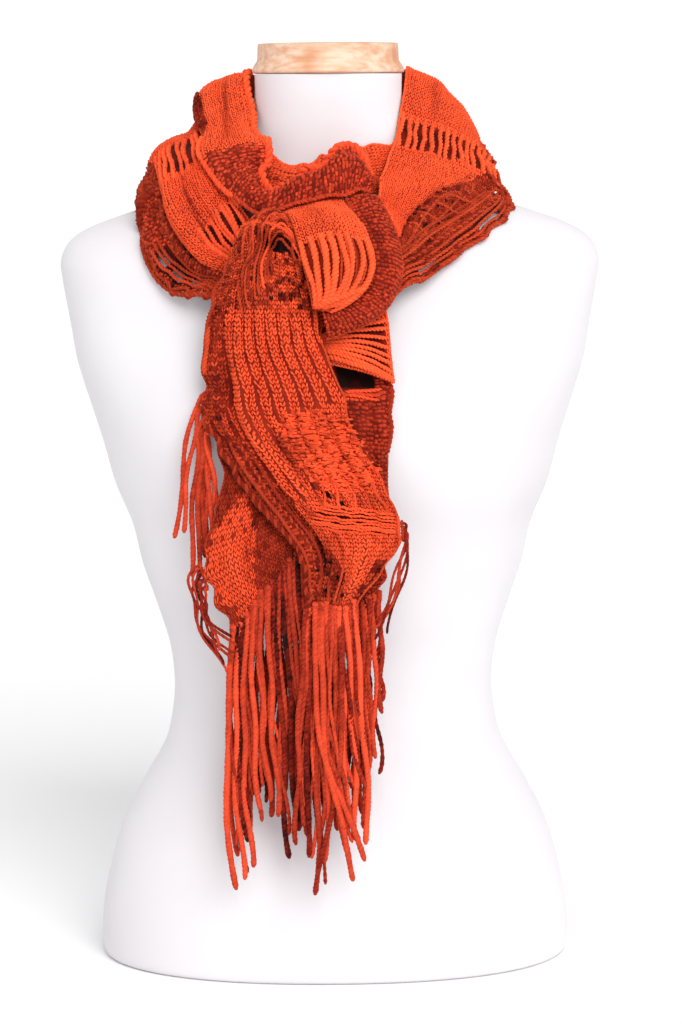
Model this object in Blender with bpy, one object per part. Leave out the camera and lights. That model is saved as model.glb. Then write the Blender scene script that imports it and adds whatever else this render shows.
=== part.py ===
"""Net frill scarf, wound twice round the neck of a limbless dress form and looped through itself.

The frame is the form's own: Z is up, the front faces -Y, and the origin is the centre of the flat
underside. Every size below is in millimetres and is turned into metres when a mesh is made.

The scarf is one knitted strip. Each stretch that shows is a ribbon between an edge A and an edge B,
given by a short table of sections, and has a wall of its own. The stretches are built from the
inside out, and each one is pushed outwards until it lies clear of those beneath it.
"""
import math

import bpy
import bmesh
import numpy as np
from mathutils import Vector
from mathutils.bvhtree import BVHTree

MM = 0.001

# ---------------------------------------------------------------- driving sizes (mm)
KNIT_WALL = 2.0          # thickness of the knitted cloth
REST_GAP = 0.35          # air between two layers that lie on each other
SEAM_GAP = 0.3           # air between two stretches of one ribbon
CORD = 4.4               # width of a fringe cord
SIDE_CORD = 3.2          # width of a cord of the left group
NET_CORD = 1.8           # width of a loose net strand
STRIP_HEIGHT = 3.5       # the knotted edge that the fringe cords grow from
STRIP_DEPTH = 3.2
CORD_SHARE = 0.92        # thickness of a cord as a share of its width at the strip
TIP_TAPER = 0.8          # thickness of a cord's tip as a share of the cord's
HEM_GAP = 0.45           # air between the cloth's edge and a strip beside or under it
LAY_MARGIN = 0.25        # extra height over a layer beneath, between the points that are tried
SHARP_ANGLE = 50.0       # degrees between faces above which an edge is shaded sharp
NECK_TOP = 646.0         # top of the form's neck, under the cap
CAP_RADIUS = 54.5        # lip of the neck cap
CAP_HEIGHT = 22.0

# ---------------------------------------------------------------- dress form
# height, half width, depth in front, depth at the back, shift of the ring along Y
FORM_RINGS = [
    (0, 168, 105, 106, 0), (6, 173, 110, 111, 0), (36, 172, 109, 112, 0), (66, 166, 106, 110, 0),
    (97, 157, 102, 106, 0), (127, 142, 96, 98, 0), (157, 125, 88, 86, 0), (180, 119, 84, 80, 0),
    (203, 117, 82, 77, 0), (232, 120, 85, 76, 0), (262, 129, 92, 78, 0), (292, 139, 99, 81, 0),
    (322, 146, 108, 84, 0), (352, 158, 119, 87, 0), (382, 166, 126, 91, 0), (411, 175, 124, 94, 0),
    (441, 184, 115, 96, 0), (470, 189, 102, 96, 0), (499, 194, 91, 94, 0), (514, 195, 84, 90, 0),
    (528, 188, 75, 83, 0), (538, 172, 67, 75, 0), (547, 147, 61, 69, 0), (556, 121, 57, 64, 0),
    (568, 96, 54, 60, 0), (582, 77, 52, 56, 0), (598, 63, 51, 53, -2), (615, 55, 51, 52, -4),
    (632, 53, 52, 52, -5), (NECK_TOP, 53, 52, 52, -6),
]
FORM_SEGMENTS = 36
FORM_SQUARENESS = 2.25   # exponent of the rings: 2 is an ellipse
# radius as a share of the lip's, height above the neck's top as a share of the cap's
CAP_PROFILE = [
    (0.95, 0.0), (1.0, 0.04), (1.0, 0.16), (0.965, 0.32), (0.935, 0.46), (0.925, 0.9), (0.88, 0.98),
    (0.5, 1.0),
]

# ---------------------------------------------------------------- ribbons of the scarf
# Each section: edge A (x, y, z), edge B (x, y, z), bow outwards in the middle, rise of the middle.

# the bright frilled edge of the inner turn, left to right past the front of the neck; A is on top
INNER_FRILL = [
    (-54, -22, 604, -66, -30, 578, 3, 0), (-42, -48, 588, -54, -70, 560, 3, 0),
    (-20, -58, 581, -28, -86, 556, 3, 0), (-6, -58, 587, -6, -88, 558, 3, 0),
    (4, -57, 590, 6, -86, 560, 3, 0), (14, -55, 595, 20, -80, 562, 3, 0),
    (30, -49, 593, 36, -66, 564, 3, 0), (44, -37, 593, 50, -48, 570, 3, 0),
]
# the outer turn, from the knot over the left shoulder, round the back and over the right shoulder
# down to the knot; A is the edge at the neck, B lies on the shoulders
OUTER_TURN = [
    (-46, -104, 524, -74, -106, 490, 3, 0), (-50, -106, 534, -88, -106, 495, 4, 0),
    (-58, -104, 549, -104, -93, 494, 7, 0), (-68, -93, 564, -119, -79, 503, 9, 0),
    (-77, -78, 576, -129, -67, 521, 11, 0), (-82, -58, 590, -132, -45, 543, 12, 0),
    (-86, -34, 605, -135, -14, 554, 12, 0), (-86, -8, 616, -131, 14, 556, 13, 0),
    (-82, 26, 622, -112, 54, 552, 13, 0), (-54, 60, 633, -64, 83, 540, 13, 0),
    (0, 72, 641, 0, 94, 531, 14, 0), (42, 56, 646, 62, 84, 540, 14, 0),
    (58, 20, 649, 99, 56, 556, 16, 0), (55.5, 4, 648, 112, 26, 577, 16, 0),
    (52.5, -18, 628, 117, 8, 581, 13, 0), (48, -36, 605, 118, -4, 576, 10, 0),
    (44, -49, 592, 125, -11, 563, 8, 0), (41, -62, 583, 129, -20, 552, 7, 0),
    (38, -74, 576, 124, -40, 543, 7, 0), (36, -86, 569, 108, -60, 531, 7, 0),
    (35, -95, 561, 89, -79, 519, 6, 0), (38, -103, 552, 71, -96, 507, 5, 0),
    (43, -112, 542, 48, -112, 498, 3, 0), (33, -116, 532, 33, -118, 493, 2, 0),
]
# names, share of the turn's length where each stretch ends, and rows of cells along it
OUTER_STRETCHES = (("scarf_wrap_left", 0.335, 20), ("scarf_wrap_back", 0.535, 11),
                   ("scarf_wrap_right", 1.0, 25))

# the inner turn: over the upper left and then across the front as a soft roll; A is at the neck
INNER_TURN = [
    (56, 12, 628, 60, 14, 604, 2, 0), (42, 40, 630, 46, 44, 604, 2, 0), (0, 56, 632, 0, 61, 606, 2, 0),
    (-42, 38, 638, -49, 44, 616, 3, 0), (-58, 18, 646, -80, 24, 636, 4, 0),
    (-58, -2, 645, -95, 2, 630, 4, 0), (-56, -20, 628, -93, -22, 615, 5, 0),
    (-53, -42, 606, -89, -44, 604, 6, 0), (-45, -64, 600, -90, -62, 592, 6, 0),
    (-41, -74, 588, -82, -82, 576, 6, 0), (-48, -86, 577, -66, -102, 562, 6, 0),
    (-40, -94, 566, -54, -111, 552, 6, 0), (-27, -94, 567, -38, -115, 550, 6, 0),
    (-18, -91, 578, -22, -115, 555, 7, 0), (-6, -89, 580, -8, -114, 559, 7, 0),
    (5, -84, 589, 4, -111, 562, 8, 0), (14, -80, 596, 14, -107, 564, 7, 0),
    (23, -82, 585, 22, -102, 566, 5, 0), (31, -84, 574, 29, -97, 565, 3, 0),
]
INNER_STRETCHES = (("scarf_inner_back", 0.20, 6), ("scarf_inner_left", 0.47, 11),
                   ("scarf_front_roll", 1.0, 23))

# the tails: A is the left edge in the front view, B the right one, and each runs downwards
REAR_TAIL = [
    (-70, -104, 486, 0, -108, 486, 3, 0), (-78, -116, 440, 2, -122, 440, 3, 0),
    (-80, -122, 400, -2, -128, 400, 3, 0), (-74, -126, 370, -6, -130, 372, 3, 0),
    (-82, -128, 340, -8, -130, 356, 3, 0), (-88, -131, 310, -12, -131, 344, 3, 0),
    (-81, -133, 286, -14, -132, 336, 2, 0), (-69, -134, 262, -16, -133, 326, 1, 0),
]
SIDE_TAIL = [
    (-10, -112, 482, 37, -112, 486, 2, 0), (-6, -120, 450, 39.5, -118, 448, 2, 0),
    (0, -128, 424, 41.5, -126, 424, 3, 0), (6, -132, 400, 40.5, -130, 398, 4, 0),
    (9, -133, 378, 38.5, -132, 376, 4, 0), (12, -134, 352, 40, -132, 350, 4, 0),
    (12, -134, 325, 40, -133, 325, 3, 0), (12, -134, 300, 36, -133, 300, 2, 0),
    (12, -134, 284, 32, -133, 286, 1, 0),
]
FRONT_TAIL = [
    (-56, -120, 529, -24, -123, 537, 3, 13), (-67, -130, 518, -19, -134, 528, 8, 18),
    (-78, -130, 500, -14, -138, 506, 9, 12), (-83, -126, 480, -9, -138, 481, 8, 2),
    (-87, -124, 456, -4, -141, 458, 8, 0), (-86, -124, 432, 6, -144, 436, 8, 0),
    (-87, -126, 414, 12, -146, 415, 7, 0), (-79, -130, 396, 18, -147, 396, 7, 0),
    (-69, -134, 378, 29, -147, 379, 6, 0), (-57, -137, 360, 39, -146, 360, 6, 0),
    (-43, -139, 343, 46, -145, 341, 5, 0), (-29, -141, 328, 47, -144, 326, 4, 0),
    (-20, -142, 312, 38, -144, 310, 4, 0), (-18, -143, 294, 25, -144, 293, 3, 0),
    (-17, -144, 279, 16, -144, 280, 2, 0),
]
SIDE_FLAP = [
    (-8, -116, 484, 36, -112, 490, 3, 0), (-8, -124, 470, 40, -118, 474, 5, 0),
    (-6, -130, 458, 42, -125, 452, 7, 0), (2, -132, 447, 44, -129, 434, 7, 0),
]
# the knot: a dark band that sweeps round the tails and the bright bulge of the loop
KNOT_BAND = [
    (12, -106, 560, 34, -98, 562, 3, 0), (18, -118, 548, 41, -110, 549, 4, 0),
    (25, -126, 534, 48, -117, 531, 5, 0), (29, -132, 515, 50, -122, 508, 6, 0),
    (24, -138, 499, 41, -130, 488, 7, 0), (10, -145, 490, 24, -140, 475, 7, 0),
    (-5, -147, 486, -2, -144, 466, 5, 0),
]
KNOT_LOOP = [
    (-34, -102, 556, 8, -100, 562, 2, 0), (-31, -117, 549, 14, -115, 553, 6, 0),
    (-25, -133, 542, 21, -130, 545, 11, 0), (-20, -143, 529, 27, -138, 531, 15, 0),
    (-17, -147, 516, 30, -141, 517, 14, 0), (-14, -149, 504, 25, -145, 502, 10, 0),
    (-12, -150, 494, 13, -149, 491, 5, 0), (-11, -150, 487, 0, -150, 485, 2, 0),
]

# folds: position across at both ends, stretch along from and to, height (negative is a trough), half width
FOLDS = {
    "inner_frill": [(0.75, 0.7, 0.25, 0.9, -1.5, 4)],
    "outer_turn": [
        (0.55, 0.42, 0.00, 0.24, 5, 8), (0.80, 0.66, 0.00, 0.26, -5, 7), (0.30, 0.24, 0.02, 0.20, -4, 6),
        (0.92, 0.86, 0.04, 0.30, 4, 6), (0.20, 0.40, 0.24, 0.48, -5, 8), (0.62, 0.52, 0.26, 0.52, 7, 12),
        (0.84, 0.88, 0.34, 0.52, -6, 8), (0.30, 0.20, 0.40, 0.58, 5, 9), (0.48, 0.42, 0.56, 0.80, -2, 9),
        (0.74, 0.62, 0.66, 0.98, -4, 7), (0.88, 0.82, 0.60, 0.90, 4, 7), (0.30, 0.34, 0.66, 0.95, 2.5, 12),
    ],
    "inner_turn": [
        (0.55, 0.45, 0.22, 0.46, -3.5, 6), (0.25, 0.30, 0.26, 0.50, 3, 8), (0.88, 0.84, 0.38, 0.60, 3.5, 5),
        (0.62, 0.55, 0.52, 0.96, 3, 8), (0.22, 0.20, 0.54, 0.98, -2.5, 4),
    ],
    "rear_tail": [(0.30, 0.25, 0.1, 0.9, 3, 8), (0.14, 0.30, 0.55, 1.0, 4, 9), (0.6, 0.6, 0.1, 0.8, -3, 7)],
    "side_tail": [
        (0.30, 0.35, 0.1, 1.0, 3, 5), (0.62, 0.6, 0.2, 1.0, -3.5, 5), (0.86, 0.85, 0.3, 0.9, 2.5, 4),
    ],
    "front_tail": [
        (0.16, 0.24, 0.22, 0.62, -6, 6), (0.28, 0.34, 0.22, 0.70, 4, 8), (0.10, 0.05, 0.30, 0.50, 3, 6),
        (0.80, 0.82, 0.40, 0.80, -3, 8), (0.55, 0.62, 0.45, 0.85, 3, 14), (0.24, 0.20, 0.62, 0.86, -4, 6),
        (0.90, 0.95, 0.55, 0.80, 3, 6), (0.45, 0.50, 0.80, 1.0, 2.5, 8), (0.72, 0.70, 0.80, 1.0, -2.5, 6),
    ],
    "side_flap": [(0.5, 0.5, 0.2, 1.0, 2, 10)],
    "knot_band": [(0.5, 0.5, 0.1, 0.9, 1.5, 8)],
    "knot_loop": [(0.95, 0.92, 0.1, 0.9, 1.5, 5)],
}
# local hollows and bumps: place along, place across, reach along, reach across, height
HOLLOWS = {
    "front_tail": [
        (0.115, 0.55, 0.028, 0.19, -22), (0.055, 0.55, 0.03, 0.40, 4), (0.165, 0.26, 0.05, 0.10, -8),
        (0.175, 0.86, 0.05, 0.08, -8),
        (0.215, 0.58, 0.055, 0.18, 5), (0.30, 0.04, 0.035, 0.06, 4),
    ],
    "inner_turn": [(0.71, 0.2, 0.03, 0.2, -4), (0.86, 0.15, 0.03, 0.2, 4)],
    "outer_turn": [(0.27, 0.95, 0.012, 0.1, 6)],
    "knot_loop": [(0.98, 0.5, 0.1, 0.6, -3)],
}
# frilled edges: edge, waves along the whole ribbon, height out of the cloth, reach inwards, length of
# the scallop tips
FRILLS = {
    "inner_frill": [("A", 7, 1.5, 6, 2.0)],
    "outer_turn": [("B", 29, 3.5, 12, 4.0), ("A", 11, 1.0, 8, 0.5)],
    "inner_turn": [("A", 11, 2.5, 9, 1.5), ("B", 9, 1.0, 6, 1.0)],
    "rear_tail": [("A", 8, 2.0, 9, 2.5)],
    "side_tail": [("B", 9, 2.0, 8, 2.0)],
    "front_tail": [("A", 13, 1.6, 8, 2.0), ("B", 10, 1.5, 7, 1.0)],
}
# open ladder stitches: stretch along from and to, stretch across from and to; every second column of
# cells there is left open
LADDERS = {
    "outer_turn": [
        (0.215, 0.265, 0.05, 0.55), (0.045, 0.11, 0.03, 0.42), (0.635, 0.675, 0.04, 0.94),
        (0.71, 0.75, 0.76, 0.97), (0.81, 0.85, 0.78, 0.97),
    ],
    "knot_loop": [(0.38, 0.80, 0.02, 0.98)],
    "side_flap": [(0.30, 0.80, 0.10, 0.90)],
    "front_tail": [(0.775, 0.805, 0.45, 0.85)],
}

# ---------------------------------------------------------------- fringe
# each cord: place along the hem from 0 to 1, tip (x, y, z), sideways belly of the cord
FRINGE_REAR = [
    (0.03, -70, -138, 79, -5), (0.12, -63.5, -138, 86, -4.5), (0.21, -57.5, -138, 95, -4),
    (0.30, -51, -138, 136, -3), (0.39, -45, -138, 142, -2), (0.48, -38.5, -138, 131, -1),
    (0.57, -32, -138, 101, 0), (0.66, -26, -138, 126, 0.5), (0.76, -20, -138, 117, 0.5),
    (0.86, -14, -138, 148, 0), (0.96, -8, -138, 160, 0),
]
FRINGE_BACK = [
    (0.03, -69.2, -126, 100, -4), (0.11, -63.2, -126, 120, -3), (0.19, -57.2, -126, 112, -3),
    (0.27, -51.2, -126, 150, -2), (0.35, -44.7, -126, 128, -1), (0.43, -38.2, -126, 140, 0),
    (0.51, -32.2, -126, 146, 0), (0.59, -25.7, -126, 118, 0), (0.67, -19.2, -126, 136, 0),
    (0.75, -12.7, -126, 120, 0), (0.83, -6.2, -126, 131, 0), (0.91, 0.8, -126, 118, 1),
    (0.98, 7.8, -126, 126, 1),
]
FRINGE_FRONT = [
    (0.03, -26, -148, 113, -1.5), (0.16, -19, -148, 104, -1), (0.29, -12, -148, 77, -0.5),
    (0.42, -5, -148, 100, 0), (0.55, 2, -148, 129, 0), (0.68, 9, -148, 141, 0.5),
    (0.81, 16, -148, 116, 1), (0.96, 24, -148, 113, 1.5),
]
FRINGE_SIDE = [
    (0.06, 9, -136, 128, 0), (0.24, 14.5, -136, 150, 0), (0.42, 19.5, -137, 132, 0.5),
    (0.60, 24.5, -136, 146, 0.5), (0.78, 29, -137, 172, 0.5), (0.95, 33.5, -137, 204, 0.5),
]
# strands that leave a side edge: place along the hem, reach outwards, elbow (x, y, z), tip (x, y, z)
FRINGE_LEFT = [
    (0.10, 16, -103, -121, 400, -110, -121, 326), (0.36, 12, -99, -122, 396, -104.5, -122, 330),
    (0.61, 8.5, -95.5, -121, 388, -99, -121, 299), (0.86, 5.5, -92, -122, 380, -94, -122, 298),
]
NET_RIGHT = [
    (0.14, 4, 52, -144, 300, 31, -146, 283), (0.50, 8.5, 57, -144, 301, 34, -147, 279.5),
    (0.86, 13, 62, -145, 303, 37, -147, 276),
]
NET_LEFT = [
    (0.12, 9, -105, -137, 271, -70, -141, 242), (0.38, 6.5, -101, -138, 272, -69, -142, 248),
    (0.64, 4, -97, -139, 273, -69, -143, 254), (0.90, 1.5, -93, -140, 274, -72, -144, 260),
]
# hem that lies behind the rear tail: first and last point of the strip, whose Y follows the tail
BACK_HEM = ((-69, 0, 285), (3, 0, 300))
HEM_POINTS = 9                   # points of that strip
HEM_DROPS = (0, 10, 20, 30)      # heights below the strip at which the cloth in front is felt for
CORD_STEPS = 5                   # pieces that a hanging cord is made of
STRAND_STEPS = 7                 # pieces that a strand from a side edge is made of
# rows of a ribbon's grid along which side strips lie
LEFT_ROWS = (3, 5)
NET_RIGHT_ROWS = (22, 20)
NET_LEFT_ROWS = (12, 14)

# ---------------------------------------------------------------- colours (sRGB) and roughness
BRIGHT = ((236, 88, 56), 0.85)
DARK = ((176, 58, 37), 0.88)
MARL = ((212, 68, 38), 0.86)
FRINGE_RED = ((190, 56, 33), 0.86)
JERSEY = ((246, 243, 244), 0.8)
WOOD = ((249, 209, 180), 0.5)


def linear(channel):
    """One sRGB channel from 0 to 255 as linear light."""
    value = channel / 255.0
    if value <= 0.04045:
        return value / 12.92
    return ((value + 0.055) / 1.055) ** 2.4


def material(name, finish):
    rgb, roughness = finish
    mat = bpy.data.materials.new(name)
    mat.use_nodes = True
    shader = mat.node_tree.nodes["Principled BSDF"]
    shader.inputs["Base Color"].default_value = tuple(linear(c) for c in rgb) + (1.0,)
    shader.inputs["Roughness"].default_value = roughness
    shader.inputs["Metallic"].default_value = 0.0
    return mat


def add_object(name, vertices, faces, finish):
    """One closed mesh object; vertices are in millimetres."""
    mesh = bpy.data.meshes.new(name)
    mesh.from_pydata([tuple(float(c) * MM for c in v) for v in vertices], [], faces)
    bm = bmesh.new()
    bm.from_mesh(mesh)
    bmesh.ops.recalc_face_normals(bm, faces=bm.faces)
    bm.to_mesh(mesh)
    bm.free()
    mesh.shade_smooth()
    mesh.set_sharp_from_angle(angle=math.radians(SHARP_ANGLE))
    mesh.materials.append(material(name, finish))
    obj = bpy.data.objects.new(name, mesh)
    bpy.context.collection.objects.link(obj)
    return obj


# ---------------------------------------------------------------- rings
def loft_rings(rings):
    """Vertices and faces of a closed skin over rings of equal length, with flat ends."""
    count = len(rings[0])
    vertices = [p for ring in rings for p in ring]
    faces = []
    for i in range(len(rings) - 1):
        for k in range(count):
            n = (k + 1) % count
            faces.append((i * count + k, i * count + n, (i + 1) * count + n, (i + 1) * count + k))
    faces.append(tuple(range(count - 1, -1, -1)))
    faces.append(tuple(range((len(rings) - 1) * count, len(rings) * count)))
    return vertices, faces


def form_ring(z, half_width, front, back, shift):
    power = 2.0 / FORM_SQUARENESS
    ring = []
    for k in range(FORM_SEGMENTS):
        angle = 2 * math.pi * k / FORM_SEGMENTS
        c, s = math.cos(angle), math.sin(angle)
        depth = back if s > 0 else front
        x = half_width * math.copysign(abs(c) ** power, c)
        y = depth * math.copysign(abs(s) ** power, s) + shift
        ring.append((x, y, z))
    return ring


def build_form():
    rings = [form_ring(*row) for row in FORM_RINGS]
    vertices, faces = loft_rings(rings)
    return add_object("form_torso", vertices, faces, JERSEY)


def build_cap():
    """The turned cap sits on the neck and shares its lean."""
    shift = FORM_RINGS[-1][4]
    rings = []
    for share, height in CAP_PROFILE:
        ring = []
        for k in range(FORM_SEGMENTS):
            angle = 2 * math.pi * k / FORM_SEGMENTS
            radius = CAP_RADIUS * share
            z = NECK_TOP + SEAM_GAP + CAP_HEIGHT * height
            ring.append((radius * math.cos(angle), radius * math.sin(angle) + shift, z))
        rings.append(ring)
    vertices, faces = loft_rings(rings)
    return add_object("form_neck_cap", vertices, faces, WOOD)


# ---------------------------------------------------------------- ribbons
def spline(rows, shares):
    """Catmull-Rom curve through the rows, read at shares of its length from 0 to 1."""
    table = np.array(rows, dtype=float)
    last = len(table) - 1
    place = np.clip(np.asarray(shares) * last, 0, last)
    k = np.minimum(place.astype(int), last - 1)
    f = (place - k)[:, None]
    before = table[np.maximum(k - 1, 0)]
    after = table[np.minimum(k + 2, last)]
    p, q = table[k], table[k + 1]
    return 0.5 * (2 * p + (q - before) * f + (2 * before - 5 * p + 4 * q - after) * f ** 2
                  + (3 * p - before - 3 * q + after) * f ** 3)


def unit(vectors):
    return vectors / np.maximum(np.linalg.norm(vectors, axis=-1, keepdims=True), 1e-9)


def grid_normals(points, side):
    """Outward normals of a grid of points: along runs down the first axis, across the second."""
    along = np.gradient(points, axis=0)
    across = np.gradient(points, axis=1)
    return unit(np.cross(along, across) * side)


def relief(key, s, t, width):
    """Height of the folds, hollows and frills over the smooth ribbon, in millimetres."""
    height = np.zeros((len(s), len(t)))
    for t_from, t_to, s_from, s_to, top, half_width in FOLDS.get(key, []):
        part = np.clip((s - s_from) / (s_to - s_from), 0, 1)
        centre = t_from + (t_to - t_from) * part
        fade = np.sin(math.pi * part) ** 0.6
        distance = (t[None, :] - centre[:, None]) * width[:, None]
        height += top * fade[:, None] * np.exp(-(distance / half_width) ** 2)
    for s_at, t_at, s_reach, t_reach, top in HOLLOWS.get(key, []):
        along = ((s - s_at) / s_reach) ** 2
        across = ((t - t_at) / t_reach) ** 2
        height += top * np.exp(-(along[:, None] + across[None, :]))
    for edge, waves, top, reach, tip in FRILLS.get(key, []):
        from_edge = t if edge == "A" else 1 - t
        fade = np.exp(-from_edge[None, :] * width[:, None] / reach)
        height += top * fade * np.sin(2 * math.pi * waves * s)[:, None]
    return height


def tips(key, s, t, width):
    """Shift across the ribbon that draws its frilled edges into scallops."""
    shift = np.zeros((len(s), len(t)))
    for edge, waves, top, reach, tip in FRILLS.get(key, []):
        from_edge = t if edge == "A" else 1 - t
        sign = -1 if edge == "A" else 1
        fade = np.exp(-from_edge[None, :] * width[:, None] / (0.6 * reach))
        shift += sign * tip * fade * np.cos(2 * math.pi * waves * s)[:, None]
    return shift


def ribbon(key, rows, s, t, side, ribs=None):
    """Points of one stretch of cloth and its outward normals without the folds."""
    sections = spline(rows, s)
    edge_a, edge_b = sections[:, None, 0:3], sections[:, None, 3:6]
    bow, rise = sections[:, None, 6], sections[:, None, 7]
    points = edge_a + (edge_b - edge_a) * t[None, :, None]
    width = np.linalg.norm(sections[:, 3:6] - sections[:, 0:3], axis=1)
    arch = np.sin(math.pi * t)[None, :]
    points[:, :, 2] += rise * arch
    normals = grid_normals(points, side)
    height = bow * arch + relief(key, s, t, width)
    if ribs:
        count, top = ribs
        height += top * np.cos(2 * math.pi * count * t)[None, :] * np.ones((len(s), 1))
    across = unit(edge_b - edge_a)
    points = points + across * tips(key, s, t, width)[:, :, None] + normals * height[:, :, None]
    return points, normals


def tree(objects):
    """One search tree over several objects, in millimetres."""
    vertices, faces = [], []
    for obj in objects:
        start = len(vertices)
        vertices += [v.co / MM for v in obj.data.vertices]
        faces += [tuple(start + i for i in face.vertices) for face in obj.data.polygons]
    return BVHTree.FromPolygons(vertices, faces)


def finer(grid):
    """The grid with a point added between each pair of neighbours."""
    rows = np.repeat(grid, 2, axis=0)[:-1]
    rows[1::2] = 0.5 * (grid[:-1] + grid[1:])
    both = np.repeat(rows, 2, axis=1)[:, :-1]
    both[:, 1::2] = 0.5 * (rows[:, :-1] + rows[:, 1:])
    return both


def blur(grid):
    padded = np.pad(grid, 1, mode="edge")
    rows = (padded[:-2] + 2 * padded[1:-1] + padded[2:]) / 4
    return (rows[:, :-2] + 2 * rows[:, 1:-1] + rows[:, 2:]) / 4


def lay_on(points, normals, beneath, reach=40.0, rounds=4):
    """Push a stretch outwards until its inner face is clear of the objects beneath it."""
    search = tree(beneath)
    clear = KNIT_WALL / 2 + REST_GAP + LAY_MARGIN
    fine_points, fine_normals = finer(finer(points)), unit(finer(finer(normals)))
    need = np.zeros(fine_points.shape[:2])
    for index in np.ndindex(need.shape):
        point, normal = Vector(fine_points[index]), Vector(fine_normals[index])
        hit = search.ray_cast(point + normal * reach, -normal, 2 * reach)
        if hit[0] is not None:
            need[index] = max(0.0, reach - hit[3] + clear)
    rows, columns = points.shape[:2]
    lift = np.zeros((rows, columns))
    for i in range(rows):
        for j in range(columns):
            lift[i, j] = need[max(0, 4 * i - 3):4 * i + 4, max(0, 4 * j - 3):4 * j + 4].max()
    least = lift.copy()
    for _ in range(rounds):
        lift = np.maximum(least, blur(lift))
    return points + normals * lift[:, :, None]


def ladder_cells(key, s, t):
    """Cells of the grid that open ladder stitches leave out."""
    open_cells = set()
    for s_from, s_to, t_from, t_to in LADDERS.get(key, []):
        for i in range(1, len(s) - 2):
            for j in range(1, len(t) - 2, 2):
                s_mid, t_mid = (s[i] + s[i + 1]) / 2, (t[j] + t[j + 1]) / 2
                if s_from <= s_mid <= s_to and t_from <= t_mid <= t_to:
                    open_cells.add((i, j))
    return open_cells


def wall(points, normals, open_cells=frozenset()):
    """Vertices and faces of a closed wall on both sides of a grid of points."""
    rows, columns = points.shape[:2]
    outer = points + normals * KNIT_WALL / 2
    inner = points - normals * KNIT_WALL / 2
    vertices = list(outer.reshape(-1, 3)) + list(inner.reshape(-1, 3))
    half = rows * columns
    kept = {(i, j) for i in range(rows - 1) for j in range(columns - 1)} - set(open_cells)
    faces = []
    for i, j in sorted(kept):
        a, b = i * columns + j, i * columns + j + 1
        c, d = (i + 1) * columns + j + 1, (i + 1) * columns + j
        faces.append((a, b, c, d))
        faces.append((half + d, half + c, half + b, half + a))
        borders = [((i - 1, j), a, b), ((i, j + 1), b, c), ((i + 1, j), c, d), ((i, j - 1), d, a)]
        for neighbour, first, second in borders:
            if neighbour not in kept:
                faces.append((second, first, half + first, half + second))
    used = sorted({v for face in faces for v in face})
    order = {old: new for new, old in enumerate(used)}
    return [vertices[v] for v in used], [tuple(order[v] for v in face) for face in faces]


def build_stretches(key, rows, stretches, across, beneath, finishes, side=1, reach=40.0, ribs=None):
    """The stretches of one ribbon, each as its own object, and the ribbon's grid of points."""
    ends = [0]
    shares = [np.zeros(1)]
    for name, end, cells in stretches:
        shares.append(np.linspace(shares[-1][-1], end, cells + 1)[1:])
        ends.append(ends[-1] + cells)
    s = np.concatenate(shares)
    t = np.linspace(0.0, 1.0, across + 1)
    points, outward = ribbon(key, rows, s, t, side, ribs)
    for _ in range(2):
        points = lay_on(points, outward, beneath, reach)
    normals = grid_normals(points, side)
    open_cells = ladder_cells(key, s, t)
    objects = []
    for index, (name, end, cells) in enumerate(stretches):
        first, last = ends[index], ends[index + 1]
        part = points[first:last + 1].copy()
        if first > 0:
            part[0] += unit(part[1] - part[0]) * SEAM_GAP / 2
        if last < len(s) - 1:
            part[-1] -= unit(part[-1] - part[-2]) * SEAM_GAP / 2
        holes = {(i - first, j) for i, j in open_cells if first < i < last - 1}
        vertices, faces = wall(part, normals[first:last + 1], holes)
        objects.append(add_object(name, vertices, faces, finishes[index]))
    return objects, points


# ---------------------------------------------------------------- fringe
DOWN = np.array([0.0, 0.0, -1.0])
LEFT = np.array([-1.0, 0.0, 0.0])


def along_line(line, share):
    """Point at a share of the length of a polyline."""
    steps = np.linalg.norm(np.diff(line, axis=0), axis=1)
    total = np.concatenate([[0.0], np.cumsum(steps)])
    return np.array([np.interp(share * total[-1], total, line[:, k]) for k in range(3)])


def cord_frame(direction):
    """Two unit vectors across a cord, the first one sideways."""
    sideways = np.array([1.0, 0.0, 0.0])
    sideways = unit(sideways - direction * np.dot(sideways, direction))
    return sideways, np.cross(direction, sideways)


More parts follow.
